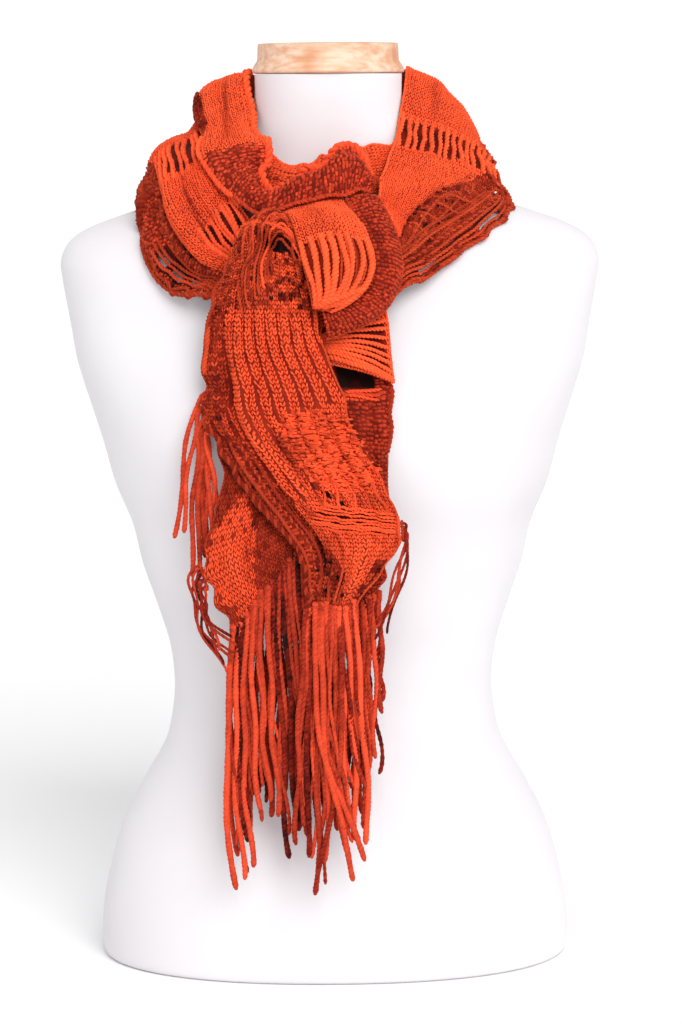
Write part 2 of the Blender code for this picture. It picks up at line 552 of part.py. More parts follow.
def build_fringe(name, hem, cords, width, finish, grow=DOWN):
    """A strip along a hem with cords that grow from its far side; all one closed mesh."""
    length = np.sum(np.linalg.norm(np.diff(hem, axis=0), axis=1))
    half = 0.5 * width / length
    places = [(max(0.0, place - half), min(1.0, place + half)) for place, path in cords]
    stations = [0.0] + [p for pair in places for p in pair] + [1.0]
    stations[0] = min(0.0, stations[1] - half)
    stations[-1] = max(1.0, stations[-2] + half)
    front = np.array([0.0, -1.0, 0.0])
    vertices, faces = [], []
    for station in stations:
        top = along_line(hem, min(max(station, 0.0), 1.0))
        run = unit(hem[-1] - hem[0])
        top = top + run * (station - min(max(station, 0.0), 1.0)) * length
        for height, depth in ((0, 0.5), (0, -0.5), (1, -0.5), (1, 0.5)):
            vertices.append(top + grow * STRIP_HEIGHT * height + front * STRIP_DEPTH * depth)
    faces.append((0, 1, 2, 3))
    for k in range(len(stations) - 1):
        a, b = 4 * k, 4 * (k + 1)
        faces.append((a, b, b + 1, a + 1))
        faces.append((a + 1, b + 1, b + 2, a + 2))
        faces.append((a + 3, b + 3, b, a))
        if k % 2 == 0:
            faces.append((a + 2, b + 2, b + 3, a + 3))
    last = 4 * (len(stations) - 1)
    faces.append((last + 3, last + 2, last + 1, last))
    for index, (place, path) in enumerate(cords):
        k = 2 * index + 1
        a, b = 4 * k, 4 * (k + 1)
        ring = [a + 2, b + 2, b + 3, a + 3]
        for m in range(1, len(path)):
            ahead = path[min(m + 1, len(path) - 1)]
            sideways, depthways = cord_frame(unit(ahead - path[m - 1]))
            start = len(vertices)
            taper = TIP_TAPER if m == len(path) - 1 else 1.0
            for x_sign, y_sign in ((-1, 1), (1, 1), (1, -1), (-1, -1)):
                corner = sideways * x_sign + np.array([0.0, 1.0, 0.0]) * y_sign
                vertices.append(path[m] + corner * CORD_SHARE / 2 * width * taper)
            new = [start, start + 1, start + 2, start + 3]
            for c in range(4):
                n = (c + 1) % 4
                faces.append((ring[c], ring[n], new[n], new[c]))
            ring = new
        faces.append(tuple(ring))
    return add_object(name, vertices, faces, finish)


def hanging_cords(hem, table):
    """Paths of cords that hang from a hem to their tips, with a little sideways belly.

    A cord reaches the depth of its tip within its first step, so that layers of cords stay apart.
    """
    cords = []
    for place, x, y, z, belly in table:
        root = along_line(hem, place) + DOWN * STRIP_HEIGHT
        tip = np.array([x, y, z], dtype=float)
        path = []
        for m in range(CORD_STEPS + 1):
            u = m / CORD_STEPS
            point = root + (tip - root) * u
            point[0] += belly * math.sin(math.pi * u)
            point[1] = root[1] + (tip[1] - root[1]) * min(1.0, m)
            path.append(point)
        cords.append((place, path))
    return cords


def side_cords(hem, table, grow):
    """Paths of strands that leave a side edge outwards, turn at an elbow and end at their tips."""
    cords = []
    for place, reach, ex, ey, ez, x, y, z in table:
        root = along_line(hem, place) + grow * STRIP_HEIGHT
        out = root + grow * reach
        elbow, tip = np.array([ex, ey, ez], dtype=float), np.array([x, y, z], dtype=float)
        path = []
        for m in range(STRAND_STEPS + 1):
            u = m / STRAND_STEPS
            v = 1 - u
            path.append(root * v ** 3 + out * 3 * u * v ** 2 + elbow * 3 * u ** 2 * v + tip * u ** 3)
        cords.append((place, path))
    return cords


def hem_of(points):
    """Line just below the lower end of a ribbon."""
    direction = unit(points[-1] - points[-2])
    return points[-1] + direction * HEM_GAP + DOWN * SEAM_GAP


def side_hem_of(points, rows, column):
    """Line just outside one long edge of a ribbon, from one row of its grid to another."""
    neighbour = 1 if column == 0 else -2
    step = 1 if rows[1] > rows[0] else -1
    picked = list(range(rows[0], rows[1] + step, step))
    edge = points[picked, column]
    outward = unit(np.mean(edge - points[picked, neighbour], axis=0))
    chord = np.linspace(edge[0], edge[-1], len(edge))
    bulge = np.max((edge - chord) @ outward)
    return chord + outward * (bulge + HEM_GAP)


def hem_behind(line, cloth):
    """Line moved along Y until a strip on it, and the cords below it, hang just behind a cloth."""
    search = tree([cloth])
    first, last = np.array(line, dtype=float)
    places = [first + (last - first) * share for share in np.linspace(0, 1, HEM_POINTS)]
    ahead = Vector((0.0, -1.0, 0.0))
    depths = []
    for place in places:
        starts = [Vector((place[0], 0.0, place[2] - drop)) for drop in HEM_DROPS]
        hits = [search.ray_cast(start, ahead)[0] for start in starts]
        depths.append([hit.y + CORD / 2 + HEM_GAP for hit in hits if hit is not None])
    known = [depth for group in depths for depth in group]
    for place, group in zip(places, depths):
        place[1] = max(group or known)
    return np.array(places)


# ---------------------------------------------------------------- assembly
def clear_scene():
    for obj in list(bpy.data.objects):
        bpy.data.objects.remove(obj, do_unlink=True)


def build_all():
    torso = build_form()
    build_cap()
    beneath = [torso]

    def stretch(name, key, rows, along, across, finish, **options):
        """A ribbon of one stretch, laid on all that is already there."""
        whole = ((name, 1.0, along),)
        made, points = build_stretches(key, rows, whole, across, beneath, (finish,), **options)
        beneath.extend(made)
        return points

    stretch("scarf_inner_frill", "inner_frill", INNER_FRILL, 20, 4, BRIGHT, side=-1)
    outer, _ = build_stretches("outer_turn", OUTER_TURN, OUTER_STRETCHES, 17, beneath,
                               (MARL, BRIGHT, BRIGHT))
    beneath.extend(outer)
    rear_points = stretch("scarf_rear_tail", "rear_tail", REAR_TAIL, 17, 8, MARL)
    side_points = stretch("scarf_side_tail", "side_tail", SIDE_TAIL, 17, 7, DARK)
    stretch("scarf_side_flap", "side_flap", SIDE_FLAP, 8, 11, BRIGHT)
    front_points = stretch("scarf_front_tail", "front_tail", FRONT_TAIL, 28, 20, MARL, ribs=(10, 1.1))
    stretch("scarf_knot_band", "knot_band", KNOT_BAND, 15, 5, DARK)
    stretch("scarf_knot_loop", "knot_loop", KNOT_LOOP, 14, 15, BRIGHT)
    build_stretches("inner_turn", INNER_TURN, INNER_STRETCHES, 9, beneath, (BRIGHT, BRIGHT, DARK),
                    side=-1, reach=9.0)

    rear_hem, side_hem, front_hem = hem_of(rear_points), hem_of(side_points), hem_of(front_points)
    build_fringe("fringe_rear", rear_hem, hanging_cords(rear_hem, FRINGE_REAR), CORD, FRINGE_RED)
    build_fringe("fringe_front", front_hem, hanging_cords(front_hem, FRINGE_FRONT), CORD, FRINGE_RED)
    build_fringe("fringe_side", side_hem, hanging_cords(side_hem, FRINGE_SIDE), SIDE_CORD, FRINGE_RED)
    back_hem = hem_behind(BACK_HEM, bpy.data.objects["scarf_rear_tail"])
    build_fringe("fringe_back", back_hem, hanging_cords(back_hem, FRINGE_BACK), CORD, FRINGE_RED)
    left_hem = side_hem_of(rear_points, LEFT_ROWS, 0)
    build_fringe("fringe_left", left_hem, side_cords(left_hem, FRINGE_LEFT, LEFT), SIDE_CORD,
                 FRINGE_RED, LEFT)
    net_hem = side_hem_of(rear_points, NET_LEFT_ROWS, 0)
    build_fringe("net_left", net_hem, side_cords(net_hem, NET_LEFT, LEFT), NET_CORD, DARK, LEFT)
    net_hem = side_hem_of(front_points, NET_RIGHT_ROWS, -1)
    build_fringe("net_right", net_hem, side_cords(net_hem, NET_RIGHT, -LEFT), NET_CORD, DARK, -LEFT)


clear_scene()
build_all()
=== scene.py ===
"""Looks of the net frill scarf on its dress form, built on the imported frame.

Sizes are in millimetres in the frame's axes (Z up, the front faces -Y) and turn into metres when a
mesh is made. The ribbon tables repeat the ones that the solids come from, so each stretch of cloth
lies where its solid is. On that form come the knitted stitches, ladder strands, net and fringe.
"""
import math

import bpy
import numpy as np
from mathutils import Matrix, Vector
from mathutils.bvhtree import BVHTree


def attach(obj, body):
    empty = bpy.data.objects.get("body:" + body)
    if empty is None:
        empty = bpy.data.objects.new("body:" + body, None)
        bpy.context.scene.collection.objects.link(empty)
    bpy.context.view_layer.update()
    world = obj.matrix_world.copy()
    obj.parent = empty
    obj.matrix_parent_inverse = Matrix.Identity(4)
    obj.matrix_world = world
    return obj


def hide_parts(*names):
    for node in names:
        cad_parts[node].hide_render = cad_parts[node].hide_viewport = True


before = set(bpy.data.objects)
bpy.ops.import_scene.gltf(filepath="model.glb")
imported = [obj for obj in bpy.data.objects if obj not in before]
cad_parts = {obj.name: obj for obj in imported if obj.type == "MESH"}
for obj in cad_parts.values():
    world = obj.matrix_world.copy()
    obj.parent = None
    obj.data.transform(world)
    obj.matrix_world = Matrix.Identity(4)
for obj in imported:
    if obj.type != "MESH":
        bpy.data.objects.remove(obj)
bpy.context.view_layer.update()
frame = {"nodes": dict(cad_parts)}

MM = 0.001
RNG = np.random.default_rng(7)
DOWN = np.array([0.0, 0.0, -1.0])
LEFT = np.array([-1.0, 0.0, 0.0])

# ---------------------------------------------------------------- driving sizes (mm)
KNIT_WALL = 2.0          # thickness of the knitted cloth
REST_GAP = 0.35          # air between two layers that lie on each other
SEAM_GAP = 0.3           # air between two stretches of one ribbon, and under the cap
CORD = 4.4               # width of a fringe cord
STRIP_HEIGHT = 3.5       # the knotted edge that the fringe cords grow from
HEM_GAP = 0.45           # air between the cloth's edge and a strip beside or under it
LAY_MARGIN = 0.25        # extra height over a layer beneath, between the points that are tried
LAY_ROUNDS = 4           # how often the height over the layers beneath is smoothed
FOLD_FADE = 0.6          # how a fold, or a streak of the tone, fades at its ends: less is more abrupt
CREASE_FADE = 0.7        # the same for a crease
TIP_REACH = 0.6          # how far in a scallop's tip reaches, as a share of its frill
NECK_TOP = 646.0         # top of the form's neck, under the cap
CAP_RADIUS = 54.5        # lip of the neck cap
CAP_HEIGHT = 22.0

# ---------------------------------------------------------------- dress form
# height, half width, depth in front, depth at the back, shift of the ring along Y
FORM_RINGS = [
    (0, 168, 105, 106, 0), (6, 173, 110, 111, 0), (36, 172, 109, 112, 0), (66, 166, 106, 110, 0),
    (97, 157, 102, 106, 0), (127, 142, 96, 98, 0), (157, 125, 88, 86, 0), (180, 119, 84, 80, 0),
    (203, 117, 82, 77, 0), (232, 120, 85, 76, 0), (262, 129, 92, 78, 0), (292, 139, 99, 81, 0),
    (322, 146, 108, 84, 0), (352, 158, 119, 87, 0), (382, 166, 126, 91, 0), (411, 175, 124, 94, 0),
    (441, 184, 115, 96, 0), (470, 189, 102, 96, 0), (499, 194, 91, 94, 0), (514, 195, 84, 90, 0),
    (528, 188, 75, 83, 0), (538, 172, 67, 75, 0), (547, 147, 61, 69, 0), (556, 121, 57, 64, 0),
    (568, 96, 54, 60, 0), (582, 77, 52, 56, 0), (598, 63, 51, 53, -2), (615, 55, 51, 52, -4),
    (632, 53, 52, 52, -5), (NECK_TOP, 53, 52, 52, -6),
]
FORM_SQUARENESS = 2.25   # exponent of the rings: 2 is an ellipse
FORM_FINE = 144          # points in a ring of the form's skin
SHARP_ANGLE = 50.0       # degrees between faces above which an edge is shaded sharp
# radius as a share of the lip's, height above the neck's top as a share of the cap's
CAP_PROFILE = [
    (0.95, 0.0), (1.0, 0.04), (1.0, 0.16), (0.965, 0.32), (0.935, 0.46), (0.925, 0.9), (0.88, 0.98),
    (0.5, 1.0),
]

# ---------------------------------------------------------------- ribbons of the scarf
# Each section: edge A (x, y, z), edge B (x, y, z), bow outwards in the middle, rise of the middle.

# the bright frilled edge of the inner turn, left to right past the front of the neck; A is on top
INNER_FRILL = [
    (-54, -22, 604, -66, -30, 578, 3, 0), (-42, -48, 588, -54, -70, 560, 3, 0),
    (-20, -58, 581, -28, -86, 556, 3, 0), (-6, -58, 587, -6, -88, 558, 3, 0),
    (4, -57, 590, 6, -86, 560, 3, 0), (14, -55, 595, 20, -80, 562, 3, 0),
    (30, -49, 593, 36, -66, 564, 3, 0), (44, -37, 593, 50, -48, 570, 3, 0),
]
# the outer turn, from the knot over the left shoulder, round the back and over the right shoulder
# down to the knot; A is the edge at the neck, B lies on the shoulders
OUTER_TURN = [
    (-46, -104, 524, -74, -106, 490, 3, 0), (-50, -106, 534, -88, -106, 495, 4, 0),
    (-58, -104, 549, -104, -93, 494, 7, 0), (-68, -93, 564, -119, -79, 503, 9, 0),
    (-77, -78, 576, -129, -67, 521, 11, 0), (-82, -58, 590, -132, -45, 543, 12, 0),
    (-86, -34, 605, -135, -14, 554, 12, 0), (-86, -8, 616, -131, 14, 556, 13, 0),
    (-82, 26, 622, -112, 54, 552, 13, 0), (-54, 60, 633, -64, 83, 540, 13, 0),
    (0, 72, 641, 0, 94, 531, 14, 0), (42, 56, 646, 62, 84, 540, 14, 0),
    (58, 20, 649, 99, 56, 556, 16, 0), (55.5, 4, 648, 112, 26, 577, 16, 0),
    (52.5, -18, 628, 117, 8, 581, 13, 0), (48, -36, 605, 118, -4, 576, 10, 0),
    (44, -49, 592, 125, -11, 563, 8, 0), (41, -62, 583, 129, -20, 552, 7, 0),
    (38, -74, 576, 124, -40, 543, 7, 0), (36, -86, 569, 108, -60, 531, 7, 0),
    (35, -95, 561, 89, -79, 519, 6, 0), (38, -103, 552, 71, -96, 507, 5, 0),
    (43, -112, 542, 48, -112, 498, 3, 0), (33, -116, 532, 33, -118, 493, 2, 0),
]
# names, share of the turn's length where each stretch ends, and rows of cells along it
OUTER_STRETCHES = (("scarf_wrap_left", 0.335, 20), ("scarf_wrap_back", 0.535, 11),
                   ("scarf_wrap_right", 1.0, 25))

# the inner turn: over the upper left and then across the front as a soft roll; A is at the neck
INNER_TURN = [
    (56, 12, 628, 60, 14, 604, 2, 0), (42, 40, 630, 46, 44, 604, 2, 0), (0, 56, 632, 0, 61, 606, 2, 0),
    (-42, 38, 638, -49, 44, 616, 3, 0), (-58, 18, 646, -80, 24, 636, 4, 0),
    (-58, -2, 645, -95, 2, 630, 4, 0), (-56, -20, 628, -93, -22, 615, 5, 0),
    (-53, -42, 606, -89, -44, 604, 6, 0), (-45, -64, 600, -90, -62, 592, 6, 0),
    (-41, -74, 588, -82, -82, 576, 6, 0), (-48, -86, 577, -66, -102, 562, 6, 0),
    (-40, -94, 566, -54, -111, 552, 6, 0), (-27, -94, 567, -38, -115, 550, 6, 0),
    (-18, -91, 578, -22, -115, 555, 7, 0), (-6, -89, 580, -8, -114, 559, 7, 0),
    (5, -84, 589, 4, -111, 562, 8, 0), (14, -80, 596, 14, -107, 564, 7, 0),
    (23, -82, 585, 22, -102, 566, 5, 0), (31, -84, 574, 29, -97, 565, 3, 0),
]
INNER_STRETCHES = (("scarf_inner_back", 0.2, 6), ("scarf_inner_left", 0.47, 11),
                   ("scarf_front_roll", 1.0, 23))

# the tails: A is the left edge in the front view, B the right one, and each runs downwards
REAR_TAIL = [
    (-70, -104, 486, 0, -108, 486, 3, 0), (-78, -116, 440, 2, -122, 440, 3, 0),
    (-80, -122, 400, -2, -128, 400, 3, 0), (-74, -126, 370, -6, -130, 372, 3, 0),
    (-82, -128, 340, -8, -130, 356, 3, 0), (-88, -131, 310, -12, -131, 344, 3, 0),
    (-81, -133, 286, -14, -132, 336, 2, 0), (-69, -134, 262, -16, -133, 326, 1, 0),
]
SIDE_TAIL = [
    (-10, -112, 482, 37, -112, 486, 2, 0), (-6, -120, 450, 39.5, -118, 448, 2, 0),
    (0, -128, 424, 41.5, -126, 424, 3, 0), (6, -132, 400, 40.5, -130, 398, 4, 0),
    (9, -133, 378, 38.5, -132, 376, 4, 0), (12, -134, 352, 40, -132, 350, 4, 0),
    (12, -134, 325, 40, -133, 325, 3, 0), (12, -134, 300, 36, -133, 300, 2, 0),
    (12, -134, 284, 32, -133, 286, 1, 0),
]
FRONT_TAIL = [
    (-56, -120, 529, -24, -123, 537, 3, 13), (-67, -130, 518, -19, -134, 528, 8, 18),
    (-78, -130, 500, -14, -138, 506, 9, 12), (-83, -126, 480, -9, -138, 481, 8, 2),
    (-87, -124, 456, -4, -141, 458, 8, 0), (-86, -124, 432, 6, -144, 436, 8, 0),
    (-87, -126, 414, 12, -146, 415, 7, 0), (-79, -130, 396, 18, -147, 396, 7, 0),
    (-69, -134, 378, 29, -147, 379, 6, 0), (-57, -137, 360, 39, -146, 360, 6, 0),
    (-43, -139, 343, 46, -145, 341, 5, 0), (-29, -141, 328, 47, -144, 326, 4, 0),
    (-20, -142, 312, 38, -144, 310, 4, 0), (-18, -143, 294, 25, -144, 293, 3, 0),
    (-17, -144, 279, 16, -144, 280, 2, 0),
]
SIDE_FLAP = [
    (-8, -116, 484, 36, -112, 490, 3, 0), (-8, -124, 470, 40, -118, 474, 5, 0),
    (-6, -130, 458, 42, -125, 452, 7, 0), (2, -132, 447, 44, -129, 434, 7, 0),
]
# the knot: a dark band that sweeps round the tails and the bright bulge of the loop
KNOT_BAND = [
    (12, -106, 560, 34, -98, 562, 3, 0), (18, -118, 548, 41, -110, 549, 4, 0),
    (25, -126, 534, 48, -117, 531, 5, 0), (29, -132, 515, 50, -122, 508, 6, 0),
    (24, -138, 499, 41, -130, 488, 7, 0), (10, -145, 490, 24, -140, 475, 7, 0),
    (-5, -147, 486, -2, -144, 466, 5, 0),
]
KNOT_LOOP = [
    (-34, -102, 556, 8, -100, 562, 2, 0), (-31, -117, 549, 14, -115, 553, 6, 0),
    (-25, -133, 542, 21, -130, 545, 11, 0), (-20, -143, 529, 27, -138, 531, 15, 0),
    (-17, -147, 516, 30, -141, 517, 14, 0), (-14, -149, 504, 25, -145, 502, 10, 0),
    (-12, -150, 494, 13, -149, 491, 5, 0), (-11, -150, 487, 0, -150, 485, 2, 0),
]

# folds: place across at both ends, place along from and to, height (negative is a trough), half width
FOLDS = {
    "inner_frill": [(0.75, 0.7, 0.25, 0.9, -1.5, 4)],
    "outer_turn": [
        (0.55, 0.42, 0.0, 0.24, 5, 8), (0.8, 0.66, 0.0, 0.26, -5, 7), (0.3, 0.24, 0.02, 0.2, -4, 6),
        (0.92, 0.86, 0.04, 0.3, 4, 6), (0.2, 0.4, 0.24, 0.48, -5, 8), (0.62, 0.52, 0.26, 0.52, 7, 12),
        (0.84, 0.88, 0.34, 0.52, -6, 8), (0.3, 0.2, 0.4, 0.58, 5, 9), (0.48, 0.42, 0.56, 0.8, -2, 9),
        (0.74, 0.62, 0.66, 0.98, -4, 7), (0.88, 0.82, 0.6, 0.9, 4, 7), (0.3, 0.34, 0.66, 0.95, 2.5, 12),
    ],
    "inner_turn": [
        (0.55, 0.45, 0.22, 0.46, -3.5, 6), (0.25, 0.3, 0.26, 0.5, 3, 8), (0.88, 0.84, 0.38, 0.6, 3.5, 5),
        (0.62, 0.55, 0.52, 0.96, 3, 8), (0.22, 0.2, 0.54, 0.98, -2.5, 4),
    ],
    "rear_tail": [(0.3, 0.25, 0.1, 0.9, 3, 8), (0.14, 0.3, 0.55, 1.0, 4, 9), (0.6, 0.6, 0.1, 0.8, -3, 7)],
    "side_tail": [
        (0.3, 0.35, 0.1, 1.0, 3, 5), (0.62, 0.6, 0.2, 1.0, -3.5, 5), (0.86, 0.85, 0.3, 0.9, 2.5, 4),
    ],
    "front_tail": [
        (0.16, 0.24, 0.22, 0.62, -6, 6), (0.28, 0.34, 0.22, 0.7, 4, 8), (0.1, 0.05, 0.3, 0.5, 3, 6),
        (0.8, 0.82, 0.4, 0.8, -3, 8), (0.55, 0.62, 0.45, 0.85, 3, 14), (0.24, 0.2, 0.62, 0.86, -4, 6),
        (0.9, 0.95, 0.55, 0.8, 3, 6), (0.45, 0.5, 0.8, 1.0, 2.5, 8), (0.72, 0.7, 0.8, 1.0, -2.5, 6),
    ],
    "side_flap": [(0.5, 0.5, 0.2, 1.0, 2, 10)],
    "knot_band": [(0.5, 0.5, 0.1, 0.9, 1.5, 8)],
    "knot_loop": [(0.95, 0.92, 0.1, 0.9, 1.5, 5)],
}
# local hollows and bumps: place along, place across, reach along, reach across, height
HOLLOWS = {
    "front_tail": [
        (0.115, 0.55, 0.028, 0.19, -22), (0.055, 0.55, 0.03, 0.4, 4), (0.165, 0.26, 0.05, 0.1, -8),
        (0.175, 0.86, 0.05, 0.08, -8), (0.215, 0.58, 0.055, 0.18, 5), (0.3, 0.04, 0.035, 0.06, 4),
    ],
    "inner_turn": [(0.71, 0.2, 0.03, 0.2, -4), (0.86, 0.15, 0.03, 0.2, 4)],
    "outer_turn": [(0.27, 0.95, 0.012, 0.1, 6)],
    "knot_loop": [(0.98, 0.5, 0.1, 0.6, -3)],
}
# frilled edges: edge, waves along the whole ribbon, height out of the cloth, reach inwards, length of
# the scallop tips
FRILLS = {
    "inner_frill": [("A", 7, 1.5, 6, 2.0)],
    "outer_turn": [("B", 29, 3.5, 12, 4.0), ("A", 11, 1.0, 8, 0.5)],
    "inner_turn": [("A", 11, 2.5, 9, 1.5), ("B", 9, 1.0, 6, 1.0)],
    "rear_tail": [("A", 8, 2.0, 9, 2.5)],
    "side_tail": [("B", 9, 2.0, 8, 2.0)],
    "front_tail": [("A", 13, 1.6, 8, 2.0), ("B", 10, 1.5, 7, 1.0)],
}
PAST_EDGE = 0.6          # cells that the cloth is carried on past its grid
STEP_SAMPLES = 240       # points at which the length along a stretch is read
# ribbons: key, sections, stretches (node, share where it ends, rows), columns, side, reach, ribs
RIBBONS = (
    ("inner_frill", INNER_FRILL, (("scarf_inner_frill", 1.0, 20),), 4, -1, 40.0, None),
    ("outer_turn", OUTER_TURN, OUTER_STRETCHES, 17, 1, 40.0, None),
    ("rear_tail", REAR_TAIL, (("scarf_rear_tail", 1.0, 17),), 8, 1, 40.0, None),
    ("side_tail", SIDE_TAIL, (("scarf_side_tail", 1.0, 17),), 7, 1, 40.0, None),
    ("side_flap", SIDE_FLAP, (("scarf_side_flap", 1.0, 8),), 11, 1, 40.0, None),
    ("front_tail", FRONT_TAIL, (("scarf_front_tail", 1.0, 28),), 20, 1, 40.0, (10, 1.1)),
    ("knot_band", KNOT_BAND, (("scarf_knot_band", 1.0, 15),), 5, 1, 40.0, None),
    ("knot_loop", KNOT_LOOP, (("scarf_knot_loop", 1.0, 14),), 15, 1, 40.0, None),
    ("inner_turn", INNER_TURN, INNER_STRETCHES, 9, -1, 9.0, None),
)

# ---------------------------------------------------------------- fringe
# each cord: place along the hem from 0 to 1, tip (x, y, z), sideways belly of the cord
FRINGE_REAR = [
    (0.03, -70, -138, 79, -5), (0.12, -63.5, -138, 86, -4.5), (0.21, -57.5, -138, 95, -4),
    (0.3, -51, -138, 136, -3), (0.39, -45, -138, 142, -2), (0.48, -38.5, -138, 131, -1),
    (0.57, -32, -138, 101, 0), (0.66, -26, -138, 126, 0.5), (0.76, -20, -138, 117, 0.5),
    (0.86, -14, -138, 148, 0), (0.96, -8, -138, 160, 0),
]
FRINGE_BACK = [
    (0.03, -69.2, -126, 100, -4), (0.11, -63.2, -126, 120, -3), (0.19, -57.2, -126, 112, -3),
    (0.27, -51.2, -126, 150, -2), (0.35, -44.7, -126, 128, -1), (0.43, -38.2, -126, 140, 0),
    (0.51, -32.2, -126, 146, 0), (0.59, -25.7, -126, 118, 0), (0.67, -19.2, -126, 136, 0),
    (0.75, -12.7, -126, 120, 0), (0.83, -6.2, -126, 131, 0), (0.91, 0.8, -126, 118, 1),
    (0.98, 7.8, -126, 126, 1),
]
FRINGE_FRONT = [
    (0.03, -26, -148, 113, -1.5), (0.16, -19, -148, 104, -1), (0.29, -12, -148, 77, -0.5),
    (0.42, -5, -148, 100, 0), (0.55, 2, -148, 129, 0), (0.68, 9, -148, 141, 0.5),
    (0.81, 16, -148, 116, 1), (0.96, 24, -148, 113, 1.5),
]
FRINGE_SIDE = [
    (0.06, 9, -136, 128, 0), (0.24, 14.5, -136, 150, 0), (0.42, 19.5, -137, 132, 0.5),
    (0.6, 24.5, -136, 146, 0.5), (0.78, 29, -137, 172, 0.5), (0.95, 33.5, -137, 204, 0.5),
]
# strands that leave a side edge: place along the hem, reach outwards, elbow (x, y, z), tip (x, y, z)
FRINGE_LEFT = [
    (0.1, 10, -100, -121, 392, -110, -121, 326), (0.36, 8, -96, -122, 388, -104.5, -122, 330),
    (0.61, 6, -93, -121, 382, -99, -121, 299), (0.86, 4, -90, -122, 374, -94, -122, 298),
]
NET_RIGHT = [
    (0.14, 2, 43, -144, 293, 31, -146, 272), (0.5, 3, 47, -144, 291, 34, -147, 268),
    (0.86, 5, 51, -145, 290, 37, -147, 262), (0.3, 2, 47, -145, 287, 29, -147, 264),
    (0.7, 4, 49, -145, 284, 27, -147, 258),
]
NET_LEFT = [
    (0.12, 9, -105, -137, 271, -70, -141, 242), (0.38, 6.5, -101, -138, 272, -69, -142, 248),
    (0.64, 4, -97, -139, 273, -69, -143, 254), (0.9, 1.5, -93, -140, 274, -72, -144, 260),
]
# net strands beside the left ones that are only drawn
NET_STRANDS = [
    (0.22, 6, -99, -138, 262, -73, -142, 234), (0.45, 4, -94, -139, 262, -76, -142, 240),
    (0.7, 2, -90, -139, 262, -76, -143, 246), (0.95, 1, -87, -140, 262, -77, -143, 250),
]
# strands beside the left group that are only drawn
LEFT_STRANDS = [
    (0.2, 4, -90, -118, 396, -90, -119, 312), (0.32, 4, -87, -118, 394, -87, -118, 324),
    (0.48, 3, -85, -119, 388, -84, -119, 304), (0.66, 2, -82, -119, 384, -87, -119, 318),
    (0.8, 2, -80, -118, 380, -80, -119, 320), (0.94, 2, -79, -119, 372, -83, -119, 340),
]
# cords of the front fringe that are only drawn and cross the others near their tips
CROSSING_CORDS = [
    (0.2, 22, -152.5, 102, -13), (0.34, 15, -153, 88, -9), (0.74, -10, -152, 92, 6),
]
# fringes: the stretch that they belong to, node, cords, radius, tone, sway sideways, and how far the
# cords start in front of the cloth above them
FRINGES = (
    ("scarf_rear_tail", "fringe_rear", FRINGE_REAR, 2.25, 0.5, 1.8, 2.4),
    ("scarf_rear_tail", "fringe_back", FRINGE_BACK, 2.25, 0.34, 1.8, 0.0),
    ("scarf_rear_tail", "fringe_left", FRINGE_LEFT + LEFT_STRANDS, 1.9, 0.5, 1.8, 0.0),
    ("scarf_rear_tail", "net_left", NET_LEFT + NET_STRANDS, 1.1, 0.4, 2.6, 0.0),
    ("scarf_front_tail", "fringe_front", FRINGE_FRONT + CROSSING_CORDS, 2.2, 0.56, 1.8, 2.4),
    ("scarf_front_tail", "net_right", NET_RIGHT, 1.1, 0.4, 2.6, 0.0),
    ("scarf_side_tail", "fringe_side", FRINGE_SIDE, 2.1, 0.4, 1.8, 2.4),
)
# hem that lies behind the rear tail: first and last point of the strip, whose Y follows the tail
BACK_HEM = ((-69, 0, 285), (3, 0, 300))
HEM_POINTS = 9                   # points of that strip
HEM_DROPS = (0, 10, 20, 30)      # heights below the strip at which the cloth in front is felt for
CORD_STEPS = 5                   # pieces that a hanging cord is made of
STRAND_STEPS = 7                 # pieces that a strand from a side edge is made of
# rows of a ribbon's grid along which side strips lie
LEFT_ROWS = (3, 5)
NET_RIGHT_ROWS = (22, 20)
NET_LEFT_ROWS = (12, 14)
FRINGE_TUCK = 3.0        # least length of a cord above the edge that it hangs from
FRINGE_SPREAD = 0.2      # how much the cords' tones differ
WAVE_POINTS = 24         # points that a cord's waves are drawn through
THIN_CORDS = 2           # thinner cords between two neighbours
THIN_STRAY, THIN_SWAY = 3.5, 2.6  # how far their tips stray sideways, and how far they wave
THIN_BACK = (-0.5, 3.0)  # least and most that their tips lie further back
THICKNESS, THIN_THICKNESS = (0.84, 1.0), (0.55, 0.8)  # of the cords and the thinner ones, to the radius
THIN_LENGTH = (0.72, 1.0)  # least and most length of a thinner cord, to that of its neighbours
HEM_CORD = 1.6           # radius of the yarn along a fringe's edge

# ---------------------------------------------------------------- knit (mm)
WALE = 2.65              # width of one stitch
COURSE = 3.0             # height of one stitch
STITCH_RISE = 1.45       # how far a stitch stands out of the cloth
SHELL_WALL = 0.9         # thickness of the ground that the stitches stand on
SHELL_OUT = 0.25         # share of it that lies outside the cloth's form
SHELL_CELL = 1.9         # cell of the ground's mesh
LADDER_DEPTH = 0.9       # how far the ground lies back under loose strands
LADDER_INNER = 0.6       # how far its inner face does, as a share of that
INNER_TONE = 0.5         # tone of its inner face, as a share of the yarn's
GROUND_PAINTED_SHADE = 0.10       # painted shade: tone of the ground between stitches, dark as the shadow between the yarn
GROUND_SHARE = 0.14      # share of the yarn's tone that comes on top of that painted shade
LADDER_PAINTED_SHADE = 0.09      # painted shade: tone of the ground under loose strands, as a share of the yarn's
CREASE_PAINTED_SHADE = 0.19      # painted shade: how much darker the yarn is made in a crease, for each millimetre
CREASE_PAINTED_LIGHT = 0.05      # painted highlight: how much brighter it is made on a ridge
CREASE_NARROW = 1.4      # how much narrower than the crease this painted shade and light are
EDGE_CORD = 0.9          # radius of the yarn along a plain edge
EDGE_LIFT = 0.15         # how far it stands out
EDGE_PITCH, EDGE_STEP = 5.0, 1.6  # length of one turn of its plies, and of one piece of it
ROLL_POINTS = 160        # points that a rolled edge is drawn through
